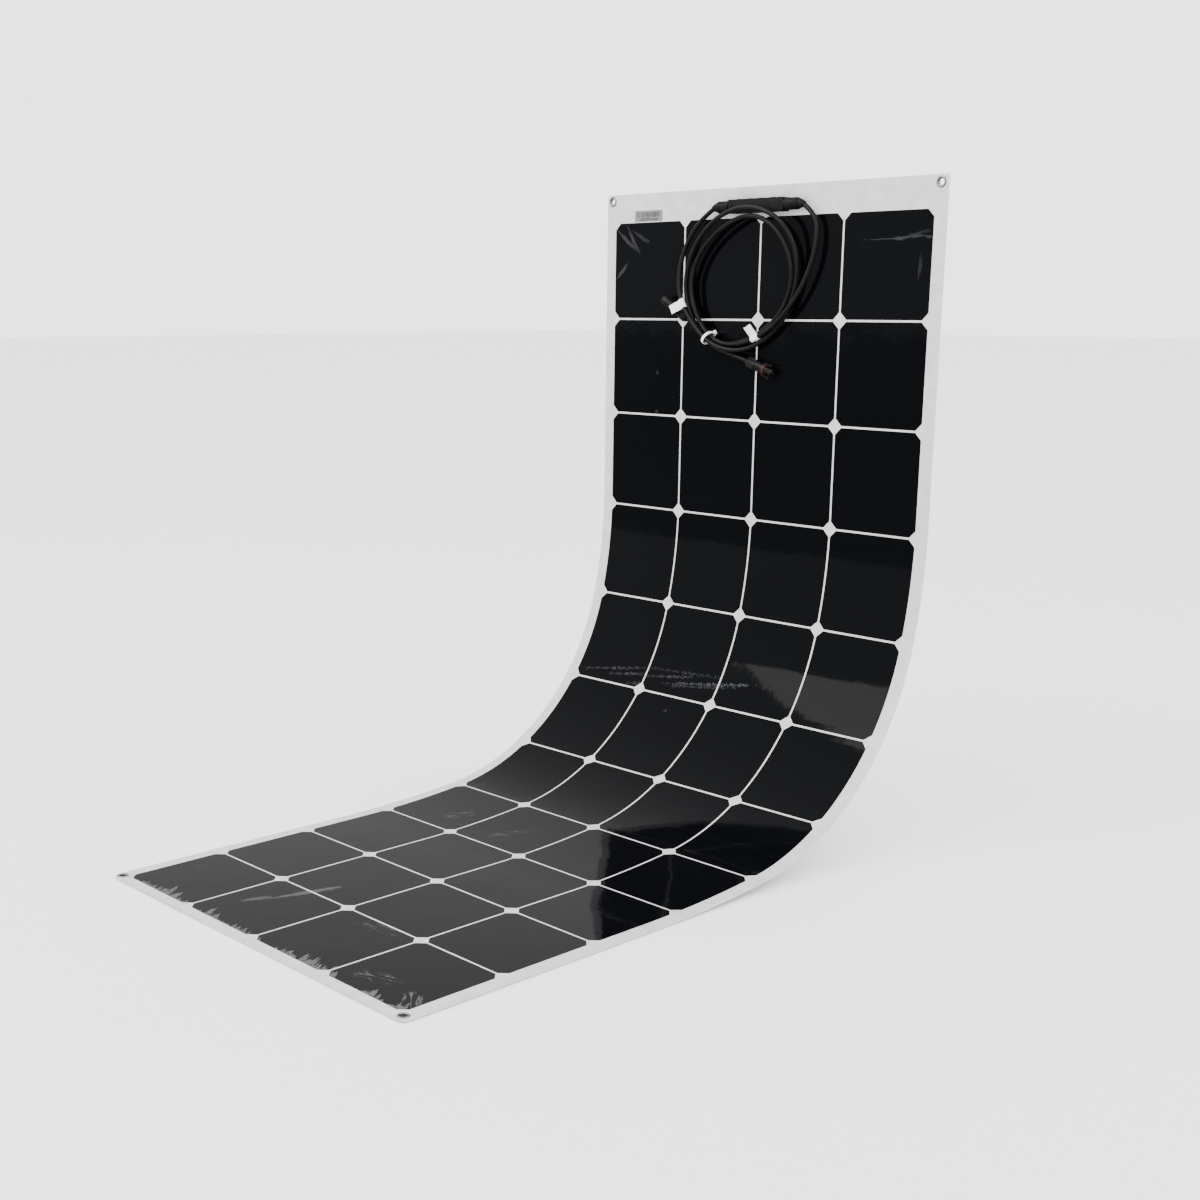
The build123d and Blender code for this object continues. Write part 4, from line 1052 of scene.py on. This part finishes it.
@dataclass
class Eyelets:
    """Rolled nickel eyelets in the four corners, with a washer behind each."""

    bore: float = 4.0 * MM
    barrel: float = 4.6 * MM
    flange: float = 6.7 * MM
    flange_rise: float = 0.9 * MM
    dome_steps: int = 12
    washer: float = 0.5 * MM
    curl: float = 0.35 * MM
    curl_ease: float = 0.1 * MM
    washer_ease: float = 0.12 * MM
    washer_fit: float = 0.05 * MM

    def build(self, sheet: Sheet) -> None:
        """Make both pairs.

        Args:
            sheet: the sheet that they are set in.
        """
        front = sheet.bend.thickness / 2
        for name, place, body in (("top", sheet.eyelet_inset, "upper"),
                                  ("bottom", sheet.bend.length - sheet.eyelet_inset, "lower")):
            rolled = mesh_piece("eyelet", self.rolled(front))
            layout = {"Columns": 2, "Rows": 1, "Across": sheet.eyelet_spread, "First": place}
            pair = sheet.flat_copies(f"eyelet_pair_{name}", rolled, Slot.NICKEL, **layout)
            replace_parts(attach(pair, body), f"eyelets_{name}")
            disc = mesh_piece("washer", self.disc(front))
            pair = sheet.flat_copies(f"washer_pair_{name}", disc, Slot.NICKEL, **layout)
            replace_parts(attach(pair, body), f"eyelet_washers_{name}")

    def rolled(self, front: float) -> bmesh.types.BMesh:
        """Section of the rolled flange, the barrel and the curl behind, turned round."""
        middle = (self.bore + self.flange) / 2
        half = (self.flange - self.bore) / 2
        turns = [math.pi * k / self.dome_steps for k in range(self.dome_steps + 1)]
        dome = [(middle + half * math.cos(a), front + self.flange_rise * math.sin(a)) for a in turns]
        back = -front - self.washer - self.curl
        bead = self.barrel + self.curl
        ease = self.curl_ease
        tail = [(self.bore, back + ease), (self.bore + ease, back), (bead - ease, back),
                (bead, back + self.curl / 2), (bead - ease, back + self.curl),
                (self.barrel, back + self.curl), (self.barrel, front)]
        form = bmesh.new()
        lathe(form, dome + tail, Matrix.Identity(4), hollow=True)
        return form

    def disc(self, front: float) -> bmesh.types.BMesh:
        """Flat washer with eased edges, turned round."""
        low, high, ease = -front - self.washer, -front, self.washer_ease
        inner, outer = self.barrel + self.washer_fit, self.flange
        form = bmesh.new()
        profile = [(inner, low), (outer - ease, low), (outer, low + ease), (outer, high - ease),
                   (outer - ease, high), (inner, high)]
        lathe(form, profile, Matrix.Identity(4), hollow=True)
        return form


@dataclass
class MarginLabel:
    """Printed bars and rules on the grey label; it carries no words."""

    bars: int = 21
    bar_width: float = 1.5 * MM
    bar_height: float = 6.4 * MM
    rule_width: float = 34 * MM
    rule_height: float = 0.9 * MM
    thickness: float = 0.04 * MM
    printed_share: float = 0.8
    bars_at: float = 5.4 * MM
    rules_at: float = 10.4 * MM
    rule_step: float = 1.9 * MM
    width_spread: float = 0.8

    def build(self, sheet: Sheet) -> None:
        """Make the bars and two rules.

        Args:
            sheet: the sheet whose label is printed.
        """
        low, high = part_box("margin_label")
        middle = (low.x + high.x) / 2
        top = sheet.bend.above_eyelets - high.z
        rise = sheet.bend.thickness / 2 + (high.y - low.y)
        spread = (high.x - low.x) * self.printed_share
        for name, size, layout in (
            ("label_bars", (self.bar_width, self.bar_height),
             {"Columns": self.bars, "Rows": 1, "Across": spread / (self.bars - 1),
              "First": top + self.bars_at, "Width_Spread": self.width_spread}),
            ("label_rules", (self.rule_width, self.rule_height),
             {"Columns": 1, "Rows": 2, "Down": self.rule_step, "First": top + self.rules_at}),
        ):
            form = bmesh.new()
            scale = Matrix.Diagonal((*size, self.thickness, 1))
            place = Matrix.Translation((0, 0, rise + self.thickness / 2)) @ scale
            bmesh.ops.create_cube(form, size=1.0, matrix=place)
            tile = mesh_piece(f"{name}_tile", form, smooth=False)
            piece = sheet.flat_copies(name, tile, Slot.LABEL, Middle=middle, **layout)
            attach(paint(piece, sheet.wardrobe.ink), "upper")


# ---- junction box ---------------------------------------------------------------------------------
@dataclass
class JunctionBox:
    """Slim junction box: a rounded lid with clips, two ribbed gland nuts and two ringed boots."""

    wardrobe: Wardrobe
    ribs: bpy.types.NodeTree
    lid_round: float = 1.274 * MM
    lid_sunk: float = 0.65 * MM
    seam: float = 0.25 * MM
    end_cap: float = 6 * MM
    clip: Place = (5.0 * MM, 0.5 * MM, 3.2 * MM)
    clip_spots: tuple[float, ...] = (-0.62, -0.2, 0.2, 0.62)
    clip_round: float = 0.12 * MM
    clip_lap: float = 0.35
    clip_sunk: float = 0.2
    nut_entry: float = 3.25 * MM
    nut_end: float = 3.5 * MM
    nut_bore: float = 4.65 * MM
    nut_segments: int = 64
    nut_ribs: int = 14
    nut_rib: float = 0.55 * MM
    nut_bands: tuple[float, ...] = (0.62, 0.79)
    band_share: float = 0.11
    band_steps: int = 6
    band_rise: float = 0.75 * MM
    band_sunk: float = 0.2 * MM
    collar: float = 1.8 * MM
    nut_edge: float = 0.5 * MM
    nut_slope: float = 0.6 * MM
    nut_nose: float = 0.9 * MM
    nut_tip: float = 1.5 * MM
    rib_share: float = 0.46
    rib_sunk: float = 0.1 * MM
    boot_gap: float = 0.3 * MM
    boot_root: float = 6.0 * MM
    boot_tip: float = 4.2 * MM
    boot_rings: int = 3
    ring_steps: int = 8
    boot_groove: float = 0.35 * MM

    def build(self, routes: dict[str, "Route"]) -> None:
        """Make the lid, the nuts and the boots.

        Args:
            routes: the cables' routes, by side.
        """
        self.lid()
        for side, name in ((-1, "left"), (1, "right")):
            self.nut(side, name)
            self.boot(side, name, routes[name])

    def lid(self) -> None:
        """Rounded lid in three fields, with clips along both long edges."""
        low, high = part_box("box_lid")
        base_low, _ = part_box("box_base")
        face = low.y
        back = base_low.y
        form = bmesh.new()
        inner = (high.x - self.end_cap, low.x + self.end_cap)
        fields = [(low.x, inner[1] - self.seam), (inner[1], inner[0]), (inner[0] + self.seam, high.x)]
        for left, right in fields:
            rounded_box(form, (left, face, low.z), (right, back, high.z), self.lid_round)
        sunk = self.lid_sunk
        inside = (low.x + sunk, face + sunk, low.z + sunk), (high.x - sunk, back, high.z - sunk)
        rounded_box(form, *inside, sunk / 3)
        half = (high.x - low.x) / 2
        for share in self.clip_spots:
            for edge, way in ((low.z, 1), (high.z, -1)):
                out, deep = self.clip[1] * self.clip_sunk, self.clip[2] * self.clip_lap
                centre = Vector((share * half, back + deep, edge + way * out))
                size = Vector((self.clip[0], self.clip[2], self.clip[1] * 2)) / 2
                rounded_box(form, centre - size, centre + size, self.clip_round)
        piece = self.wardrobe.dress(mesh_piece("box_lid_shell", form), Slot.BOX)
        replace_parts(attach(piece, "upper"), "box_lid")
        LOG.info("%s: %d faces", piece.name, len(piece.data.polygons))

    def nut(self, side: int, name: str) -> None:
        """Ribbed gland nut with two raised bands near its outer end."""
        low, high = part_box(f"gland_nut_{name}")
        inner_x = high.x if side < 0 else low.x
        length = high.x - low.x
        radius = (high.z - low.z) / 2
        origin = Vector((inner_x, (low.y + high.y) / 2, (low.z + high.z) / 2))
        turn = Vector((0, 0, 1)).rotation_difference(Vector((side, 0, 0))).to_matrix().to_4x4()
        frame = Matrix.Translation(origin) @ turn
        waist = radius - self.nut_rib
        shaft = waist - self.band_sunk
        bands = []
        for start in self.nut_bands:
            left = length * start
            wide = length * self.band_share
            bands.append((shaft, left - self.nut_slope))
            for share in (k / self.band_steps for k in range(self.band_steps + 1)):
                bands.append((shaft + self.band_rise * math.sin(math.pi * share), left + wide * share))
        outer = [(radius - self.nut_edge, 0.0), (radius, self.nut_edge), (radius, self.collar),
                 (waist, self.collar + self.nut_slope), *bands,
                 (waist - self.nut_slope, length - self.nut_nose), (waist - self.nut_tip, length)]
        shoulder = length - self.nut_end
        bore = [(self.nut_entry, length), (self.nut_entry, shoulder), (self.nut_bore, shoulder),
                (self.nut_bore, 0.0)]
        form = bmesh.new()
        lathe(form, outer + bore, Matrix.Identity(4), hollow=True, segments=self.nut_segments)
        piece = mesh_piece(f"gland_nut_{name}_ribbed", form)
        finish = self.wardrobe.materials[Slot.BOX]
        values = {"Count": self.nut_ribs, "Radius": waist - self.rib_sunk,
                  "Length": length * self.rib_share, "Start": self.collar, "Rib": self.nut_rib,
                  "Finish": finish}
        apply_trees(piece, (self.ribs, values))
        piece.data.transform(frame)
        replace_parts(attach(piece, f"gland_nut_{name}"), f"gland_nut_{name}")
        LOG.info("%s: %d faces", piece.name, len(piece.data.polygons))

    def boot(self, side: int, name: str, route: "Route") -> None:
        """Ringed rubber boot that carries the cable from the nut into its curve."""
        low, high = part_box(f"gland_nut_{name}")
        end_x = (low.x if side < 0 else high.x) + side * self.boot_gap
        root = Vector((end_x, (low.y + high.y) / 2, (low.z + high.z) / 2))
        start_way = Vector((side, 0, 0))
        end_way = (route.points[1] - route.points[0]).normalized()
        steps = self.ring_steps * self.boot_rings
        spots = []
        for k in range(steps + 1):
            share = k / steps
            way = start_way.lerp(end_way, share).normalized()
            radius = self.boot_root * (1 - share) + self.boot_tip * share
            ring = self.boot_groove * (math.cos(2 * math.pi * share * self.boot_rings) - 1) / 2
            spots.append((root.lerp(route.points[0], share), way, radius + ring))
        form = bmesh.new()
        add_rings(form, [ring_of(spot, way, radius) for spot, way, radius in spots], closed=False)
        piece = self.wardrobe.dress(mesh_piece(f"boot_{name}", form), Slot.RUBBER)
        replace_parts(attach(piece, "upper"), f"gland_boot_{name}")


def ring_of(centre: Vector, way: Vector, radius: float, count: int = 32) -> list[Vector]:
    """Circle of points round an axis, starting from the sheet's side so that rings line up."""
    side = Vector((0, -1, 0))
    first = (side - way * side.dot(way)).normalized()
    second = way.cross(first)
    angles = [2 * math.pi * k / count for k in range(count)]
    return [centre + (first * math.cos(a) + second * math.sin(a)) * radius for a in angles]


# ---- cables ---------------------------------------------------------------------------------------
class Route:
    """A cable's route: given points that a smooth curve runs between."""

    STEPS = 16

    def __init__(self, points: Sequence[Place]) -> None:
        """Keep the points, given in millimetres, and measure the curve."""
        self.points = [Vector(p) * MM for p in points]
        self.line: list[Vector] = [self.points[0]]
        joints = [self.points[0]]
        joints += [(a + b) / 2 for a, b in zip(self.points[1:-1], self.points[2:-1])]
        joints += [self.points[-1]]
        for start, bend, end in zip(joints, self.points[1:-1], joints[1:]):
            for t in (k / self.STEPS for k in range(1, self.STEPS + 1)):
                self.line.append(start * (1 - t) ** 2 + bend * 2 * t * (1 - t) + end * t * t)
        self.length = sum((b - a).length for a, b in zip(self.line, self.line[1:]))

    def at(self, share: float) -> tuple[Vector, Vector]:
        """Point and direction at a share of the length."""
        left = share * self.length
        for a, b in zip(self.line, self.line[1:]):
            step = (b - a).length
            if left <= step:
                return a.lerp(b, left / step), (b - a).normalized()
            left -= step
        return self.line[-1], (self.line[-1] - self.line[-2]).normalized()

    def end_frame(self) -> Matrix:
        """Place of what is fitted on the end: Z along the cable, X out of the sheet."""
        way = (self.points[-1] - self.points[-2]).normalized()
        side = Vector((0, -1, 0))
        across = (side - way * side.dot(way)).normalized()
        return frame_at(self.points[-1], across, way)


ROUTES = {
    "left": Route([
        (-72, -10.5, -17), (-90, -10.7, -27), (-112, -12, -51), (-124, -16, -86), (-122, -19, -126),
        (-92.6, -20.4, -163.8), (-57.4, -20.4, -190.2), (-10, -14, -195), (38, -9.5, -168),
        (64, -10, -124), (70, -14.5, -72), (46, -25, -30), (-6, -27, -14), (-62, -25, -30),
        (-104, -18, -70), (-118, -12.8, -118), (-95.6, -14.8, -166), (-60.4, -13.2, -191.4),
        (-33, -10.8, -198.5), (-9, -10.4, -206.5),
    ]),
    "right": Route([
        (72, -10.5, -17), (87, -10.8, -26.5), (96.5, -12, -48), (91, -14, -88), (68, -16, -132),
        (30, -16.5, -168), (-13, -14.5, -185), (-55.2, -13.6, -186.7), (-90.6, -13.6, -160.2),
        (-107, -14.5, -115), (-93, -17, -74), (-54, -19, -41), (-4, -19, -23), (42, -18, -45),
        (63.5, -14, -92), (51, -9.5, -138), (10, -8, -174), (-52, -6.6, -190), (-95, -7.8, -166),
        (-113.6, -9.6, -154),
    ]),
}


@dataclass
class CableTie:
    """White strap round the bundle, with fine teeth, a head and a cut end."""

    centre: Place = (-72.9 * MM, -13.8 * MM, -178.1 * MM)
    way: Place = (0.8, 0.0, -0.6)
    across: float = 8.6 * MM
    deep: float = 9.9 * MM
    width: float = 3.6 * MM
    thickness: float = 1.0 * MM
    teeth: int = 72
    tooth: float = 0.16 * MM
    edge: tuple[float, float] = (0.25 * MM, 0.4 * MM)
    head_turn: float = -40.0
    head_blocks: tuple[tuple[Place, Place, float], ...] = (
        ((0.0, -2.2 * MM, -2.4 * MM), (3.6 * MM, 2.2 * MM, 2.4 * MM), 0.6 * MM),
        ((0.8 * MM, -2.9 * MM, -1.5 * MM), (1.8 * MM, 2.8 * MM, 1.5 * MM), 0.3 * MM),
    )

    def build(self, wardrobe: Wardrobe) -> bpy.types.Object:
        """Make the tie.

        Args:
            wardrobe: the finishes.

        Returns:
            The finished piece.
        """
        way = Vector(self.way)
        across = way.cross(Vector((0, 1, 0))).normalized()
        frame = frame_at(self.centre, across, way)
        form = bmesh.new()
        rings = []
        for k in range(self.teeth * 2):
            angle = math.pi * k / self.teeth
            tooth = self.tooth if k % 2 else 0.0
            low, high = -self.width / 2, self.width / 2
            (step, ease), outer = self.edge, self.thickness - tooth
            loop = [(0.0, low + ease), (0.0, high - ease), (step, high), (outer - step, high),
                    (outer, high - ease), (outer, low + ease), (outer - step, low), (step, low)]
            cos, sin = math.cos(angle), math.sin(angle)
            rings.append([frame @ Vector(((self.across + r) * cos, (self.deep + r) * sin, h))
                          for r, h in loop])
        add_rings(form, rings, closed=True)
        head = bmesh.new()
        start = self.thickness / 2
        for low, high, bevel in self.head_blocks:
            corners = (start + low[0], *low[1:]), (start + high[0], *high[1:])
            rounded_box(head, *corners, bevel)
        angle = math.radians(self.head_turn)
        spot = Vector((self.across * math.cos(angle), self.deep * math.sin(angle), 0.0))
        head.transform(frame @ Matrix.Translation(spot) @ Matrix.Rotation(angle, 4, "Z"))
        mesh = bpy.data.meshes.new("head")
        head.to_mesh(mesh)
        head.free()
        form.from_mesh(mesh)
        piece = wardrobe.dress(mesh_piece("tie_strap", form), Slot.TIE)
        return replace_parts(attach(piece, "upper"), "cable_tie")


@dataclass
class Flag:
    """Paper flag: a band round the cable with its two ends stuck together and slightly curled."""

    name: str
    share: float
    outwards: Place
    wrap: float = 3.55 * MM
    paper: float = 0.3 * MM
    glue: float = 0.03 * MM
    plate: float = 15 * MM
    width: float = 12 * MM
    curl: float = 0.5 * MM
    waves: float = 1.0
    wave_lift: float = 1.6
    opening: float = 8.0
    plate_steps: int = 6
    wrap_steps: int = 28
    slices: int = 12

    def build(self, wardrobe: Wardrobe, route: Route) -> bpy.types.Object:
        """Make the flag.

        Args:
            wardrobe: the finishes.
            route: the cable that it is on.

        Returns:
            The finished piece.
        """
        spot, way = route.at(self.share)
        side = Vector(self.outwards)
        side = (side - way * side.dot(way)).normalized()
        frame = frame_at(spot, side, way)
        gap = self.paper / 2 + self.glue
        tip = self.wrap + self.plate
        places = [tip - self.plate * k / self.plate_steps for k in range(self.plate_steps)]
        opening = math.degrees(math.asin(gap / self.wrap)) + self.opening
        line = [(place, gap) for place in places]
        line += arc((0.0, 0.0), self.wrap, opening, 360 - opening, self.wrap_steps)
        line += [(place, -gap) for place in reversed(places)]
        rings = []
        for k in range(self.slices + 1):
            along = self.width * (k / self.slices - 0.5)
            rings.append([frame @ self.bent(p, along) for p in self.thick(line)])
        form = bmesh.new()
        add_rings(form, rings, closed=False)
        piece = wardrobe.dress(mesh_piece(f"{self.name}_paper", form), Slot.FLAG)
        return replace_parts(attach(piece, "upper"), self.name)

    def thick(self, line: Sequence[Point]) -> list[Point]:
        """Outline of the paper's edge: the line with half the paper's thickness on each side."""
        sides: list[list[Point]] = [[], []]
        for k, (x, y) in enumerate(line):
            before, after = line[max(k - 1, 0)], line[min(k + 1, len(line) - 1)]
            run = Vector((after[0] - before[0], after[1] - before[1])).normalized() * self.paper / 2
            sides[0].append((x - run.y, y + run.x))
            sides[1].append((x + run.y, y - run.x))
        return sides[0] + sides[1][::-1]

    def bent(self, point: Point, along: float) -> Vector:
        """Point of the flag, with the plate's free end curled."""
        free = max(point[0] - self.wrap, 0.0) / self.plate
        wave = math.sin(math.pi * self.waves * (along / self.width + 0.5)) - 0.5
        return Vector((point[0], point[1] + self.curl * free * (wave * self.wave_lift + free), along))


@dataclass
class Connector:
    """One half of a plug-in connector: a ribbed cap nut and a turned body on the cable's end."""

    wardrobe: Wardrobe
    ribs: bpy.types.NodeTree
    frame: Matrix
    cap_ribs: int = 10
    cap_rib: float = 0.75 * MM
    cap_waist: float = 6.02 * MM
    rib_start: float = 3.1 * MM
    rib_length: float = 11.8 * MM

    def turned(self, name: str, profile: Sequence[Point], slot: Slot) -> bpy.types.Object:
        """Turned hollow piece at the cable's end; the profile is in millimetres."""
        form = bmesh.new()
        lathe(form, [(r * MM, h * MM) for r, h in profile], self.frame, hollow=True)
        return self.wardrobe.dress(mesh_piece(name, form), slot)

    def cap(self, name: str) -> bpy.types.Object:
        """Cap nut with a tapered entry and a ring of grip ribs."""
        profile = [(3.1, 0.0), (4.5, 0.0), (4.9, 0.5), (5.6, 2.2), (6.1, 3.0), (6.1, 14.6),
                   (6.8, 15.2), (6.8, 16.7), (6.5, 17.0), (4.95, 17.0), (4.95, 3.2), (3.1, 3.2)]
        form = bmesh.new()
        lathe(form, [(r * MM, h * MM) for r, h in profile], Matrix.Identity(4), hollow=True)
        piece = mesh_piece(f"cap_{name}_ribbed", form)
        values = {"Count": self.cap_ribs, "Radius": self.cap_waist, "Length": self.rib_length,
                  "Start": self.rib_start, "Rib": self.cap_rib,
                  "Finish": self.wardrobe.materials[Slot.CONNECTOR]}
        apply_trees(piece, (self.ribs, values))
        piece.data.transform(self.frame)
        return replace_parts(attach(piece, f"cap_nut_{name}"), f"cap_nut_{name}")


@dataclass
class SpigotHalf(Connector):
    """The half with the nose, its sealing ring and two latch arms."""

    ring_radius: float = 5.5
    ring_half: float = 0.88
    ring_at: float = 30.2

    def build(self) -> list[bpy.types.Object]:
        """Make the cap, the body and the ring, and return them."""
        shell = [(2.6, 44.3), (2.6, 29.3), (2.6, 17.3), (2.6, 8.3), (4.8, 8.3), (4.8, 17.3),
                 (6.2, 17.3), (6.6, 17.7), (6.6, 20.2), (6.2, 20.6), (6.2, 21.4), (6.6, 21.8),
                 (6.6, 24.3), (6.2, 24.7), (6.2, 26.0), (5.9, 29.3), (4.6, 29.3), (4.6, 38.0),
                 (4.3, 38.5), (4.3, 39.5), (4.6, 40.0), (4.6, 43.4), (3.9, 44.3)]
        body = self.turned("spigot_shell", shell, Slot.CONNECTOR)
        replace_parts(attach(body, "upper"), "spigot_body")
        section = arc((self.ring_radius, self.ring_at), self.ring_half, 0, 360, 16)[:-1]
        ring = self.turned("sealing_ring_round", section, Slot.RING)
        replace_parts(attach(ring, "upper"), "sealing_ring")
        return [self.cap("spigot"), body, ring]


@dataclass
class SocketHalf(Connector):
    """The half with the sleeve and a pin inside."""

    def build(self) -> list[bpy.types.Object]:
        """Make the cap and the sleeve, and return them."""
        sleeve = [(2.0, 28.3), (2.0, 8.3), (4.8, 8.3), (4.8, 17.3), (6.4, 17.3), (6.8, 17.7),
                  (6.8, 20.5), (6.4, 20.9), (6.4, 22.0), (6.8, 22.4), (6.8, 27.0), (7.0, 27.6),
                  (7.0, 31.0), (6.6, 31.5), (6.6, 36.0), (7.0, 36.5), (7.0, 45.5), (6.5, 46.3),
                  (5.5, 46.3), (5.5, 28.3)]
        body = self.turned("socket_sleeve", sleeve, Slot.CONNECTOR)
        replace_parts(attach(body, "upper"), "socket_body")
        return [self.cap("socket"), body]


@dataclass
class CableLoop:
    """Both cables with everything that is fitted on them."""

    wardrobe: Wardrobe
    ribs: bpy.types.NodeTree
    diameter: float = 6 * MM
    rated_length: float = 0.83
    curve_order: int = 3
    steps_along: int = 10
    steps_round: int = 5

    def curve(self, name: str, route: Route) -> bpy.types.Object:
        """One cable as a single smooth spline along its route."""
        data = bpy.data.curves.new(name, "CURVE")
        data.dimensions = "3D"
        data.resolution_u = self.steps_along
        data.bevel_depth = self.diameter / 2
        data.bevel_resolution = self.steps_round
        data.use_fill_caps = True
        spline = data.splines.new("NURBS")
        spline.points.add(len(route.points) - 1)
        for point, place in zip(spline.points, route.points):
            point.co = (*place, 1.0)
        spline.order_u = self.curve_order
        spline.use_endpoint_u = True
        return self.wardrobe.dress(new_object(name, data), Slot.JACKET)

    def build(self, frame: dict[str, object]) -> None:
        """Make the cables and their fittings, and say how long they are.

        Args:
            frame: the loaded frame.
        """
        nodes = frame["nodes"]
        tie = CableTie().build(self.wardrobe)
        flags = {"left": Flag("flag_left", 0.168, (-1.0, -0.35, -0.2)),
                 "right": Flag("flag_right", 0.247, (-0.42, -0.53, 0.74), curl=1.1 * MM, waves=2.0)}
        ends = {"left": (SpigotHalf, ["latch_arm_near", "latch_arm_far"]), "right": (SocketHalf, [])}
        for side, route in ROUTES.items():
            cable = self.curve(f"cable_{side}_jacket", route)
            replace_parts(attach(cable, "upper"), f"cable_{side}")
            half, extra = ends[side]
            fitted = half(self.wardrobe, self.ribs, route.end_frame()).build()
            fitted += [flags[side].build(self.wardrobe, route)]
            fitted += [nodes[name] for name in extra]
            if side == "left":
                fitted.append(tie)
            LOG.info("%s: %.3f m long, %d fittings", cable.name, route.length, len(fitted))


# ---- stage ----------------------------------------------------------------------------------------
@dataclass
class Stage:
    """Pale floor, soft lights and the camera."""

    floor_reach: float = 30.0
    floor_colour: Colour = (0.92, 0.92, 0.92)
    air: float = 3.0
    reflected_air: float = 0.9
    # dark grey that glossy rays see instead of the floor: a painted dim reflection of the floor
    painted_floor_reflection: Colour = (0.12, 0.12, 0.12)
    floor_roughness: float = 0.8
    azimuth: float = 47.639
    elevation: float = 13.978
    place: Place = (1.3698, -1.6744, -0.1357)
    lens: float = 48.885
    shift: tuple[float, float] = (0.0724, 0.0916)
    sensor: float = 36.0
    target: Place = (0.0, -0.3, -0.4)
    lights: tuple[tuple[str, Place, float, float], ...] = (
        ("key", (-1.2, -2.6, 2.2), 2.4, 60.0), ("fill", (2.8, -0.6, 1.4), 2.0, 20.0),
    )

    def build(self, lowest: float) -> None:
        """Make the floor, the lights and the camera.

        Args:
            lowest: height of the object's lowest point.
        """
        form = bmesh.new()
        bmesh.ops.create_grid(form, x_segments=1, y_segments=1, size=self.floor_reach)
        floor = mesh_piece("studio_floor", form, smooth=False)
        floor.location.z = lowest
        material, graph, shader = new_material("studio_floor")
        # glossy rays see the floor in a painted dark grey, a painted dim reflection in the cells
        glossy = graph.add("ShaderNodeLightPath").outputs["Is Glossy Ray"]
        shade = graph.mix(glossy, self.floor_colour, self.painted_floor_reflection)
        graph.feed(shader, {"Base Color": shade, "Roughness": self.floor_roughness})
        floor.data.materials.append(material)
        floor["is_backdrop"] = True
        for name, place, size, power in self.lights:
            self.light(name, place, size, power)
        world = bpy.data.worlds.new("studio_air")
        world.use_nodes = True
        graph = Graph(world.node_tree)
        glossy = graph.add("ShaderNodeLightPath").outputs["Is Glossy Ray"]
        strength = graph.ramp(glossy, 0.0, 1.0, self.air, self.reflected_air)
        backdrop = world.node_tree.nodes["Background"]
        graph.feed(backdrop, {"Color": (1.0, 1.0, 1.0, 1.0), "Strength": strength})
        bpy.context.scene.world = world
        self.camera()

    def light(self, name: str, place: Place, size: float, power: float) -> None:
        """One square soft light that looks at the sheet's middle."""
        data = bpy.data.lights.new(name, "AREA")
        data.size = size
        data.energy = power
        lamp = new_object(name, data)
        lamp.location = place
        way = Vector(self.target) - Vector(place)
        lamp.rotation_euler = way.to_track_quat("-Z", "Y").to_euler()
        lamp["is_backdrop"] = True

    def camera(self) -> None:
        """Camera at eye height, to the right of the cell side."""
        data = bpy.data.cameras.new("eye")
        data.lens = self.lens
        data.sensor_width = self.sensor
        data.shift_x, data.shift_y = self.shift
        data.clip_end = 100.0
        eye = new_object("eye", data)
        eye.location = self.place
        eye.rotation_euler = (math.radians(90 - self.elevation), 0.0, math.radians(self.azimuth))
        bpy.context.scene.camera = eye


def main() -> None:
    """Build the whole scene, sub-assembly by sub-assembly."""
    logging.basicConfig(level=logging.INFO, format="%(name)s: %(message)s")
    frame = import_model()
    packed = [list(corner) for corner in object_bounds()]
    wardrobe = Wardrobe()
    wardrobe.dress_frame(frame)
    sheet = Sheet(Bend(), wardrobe)
    sheet.build()
    Eyelets().build(sheet)
    MarginLabel().build(sheet)
    sheet.clear_helpers()
    ribs = rib_tree()
    JunctionBox(wardrobe, ribs).build(ROUTES)
    CableLoop(wardrobe, ribs).build(frame)
    Stage().build(packed[0][2])


if __name__ == "__main__":
    main()
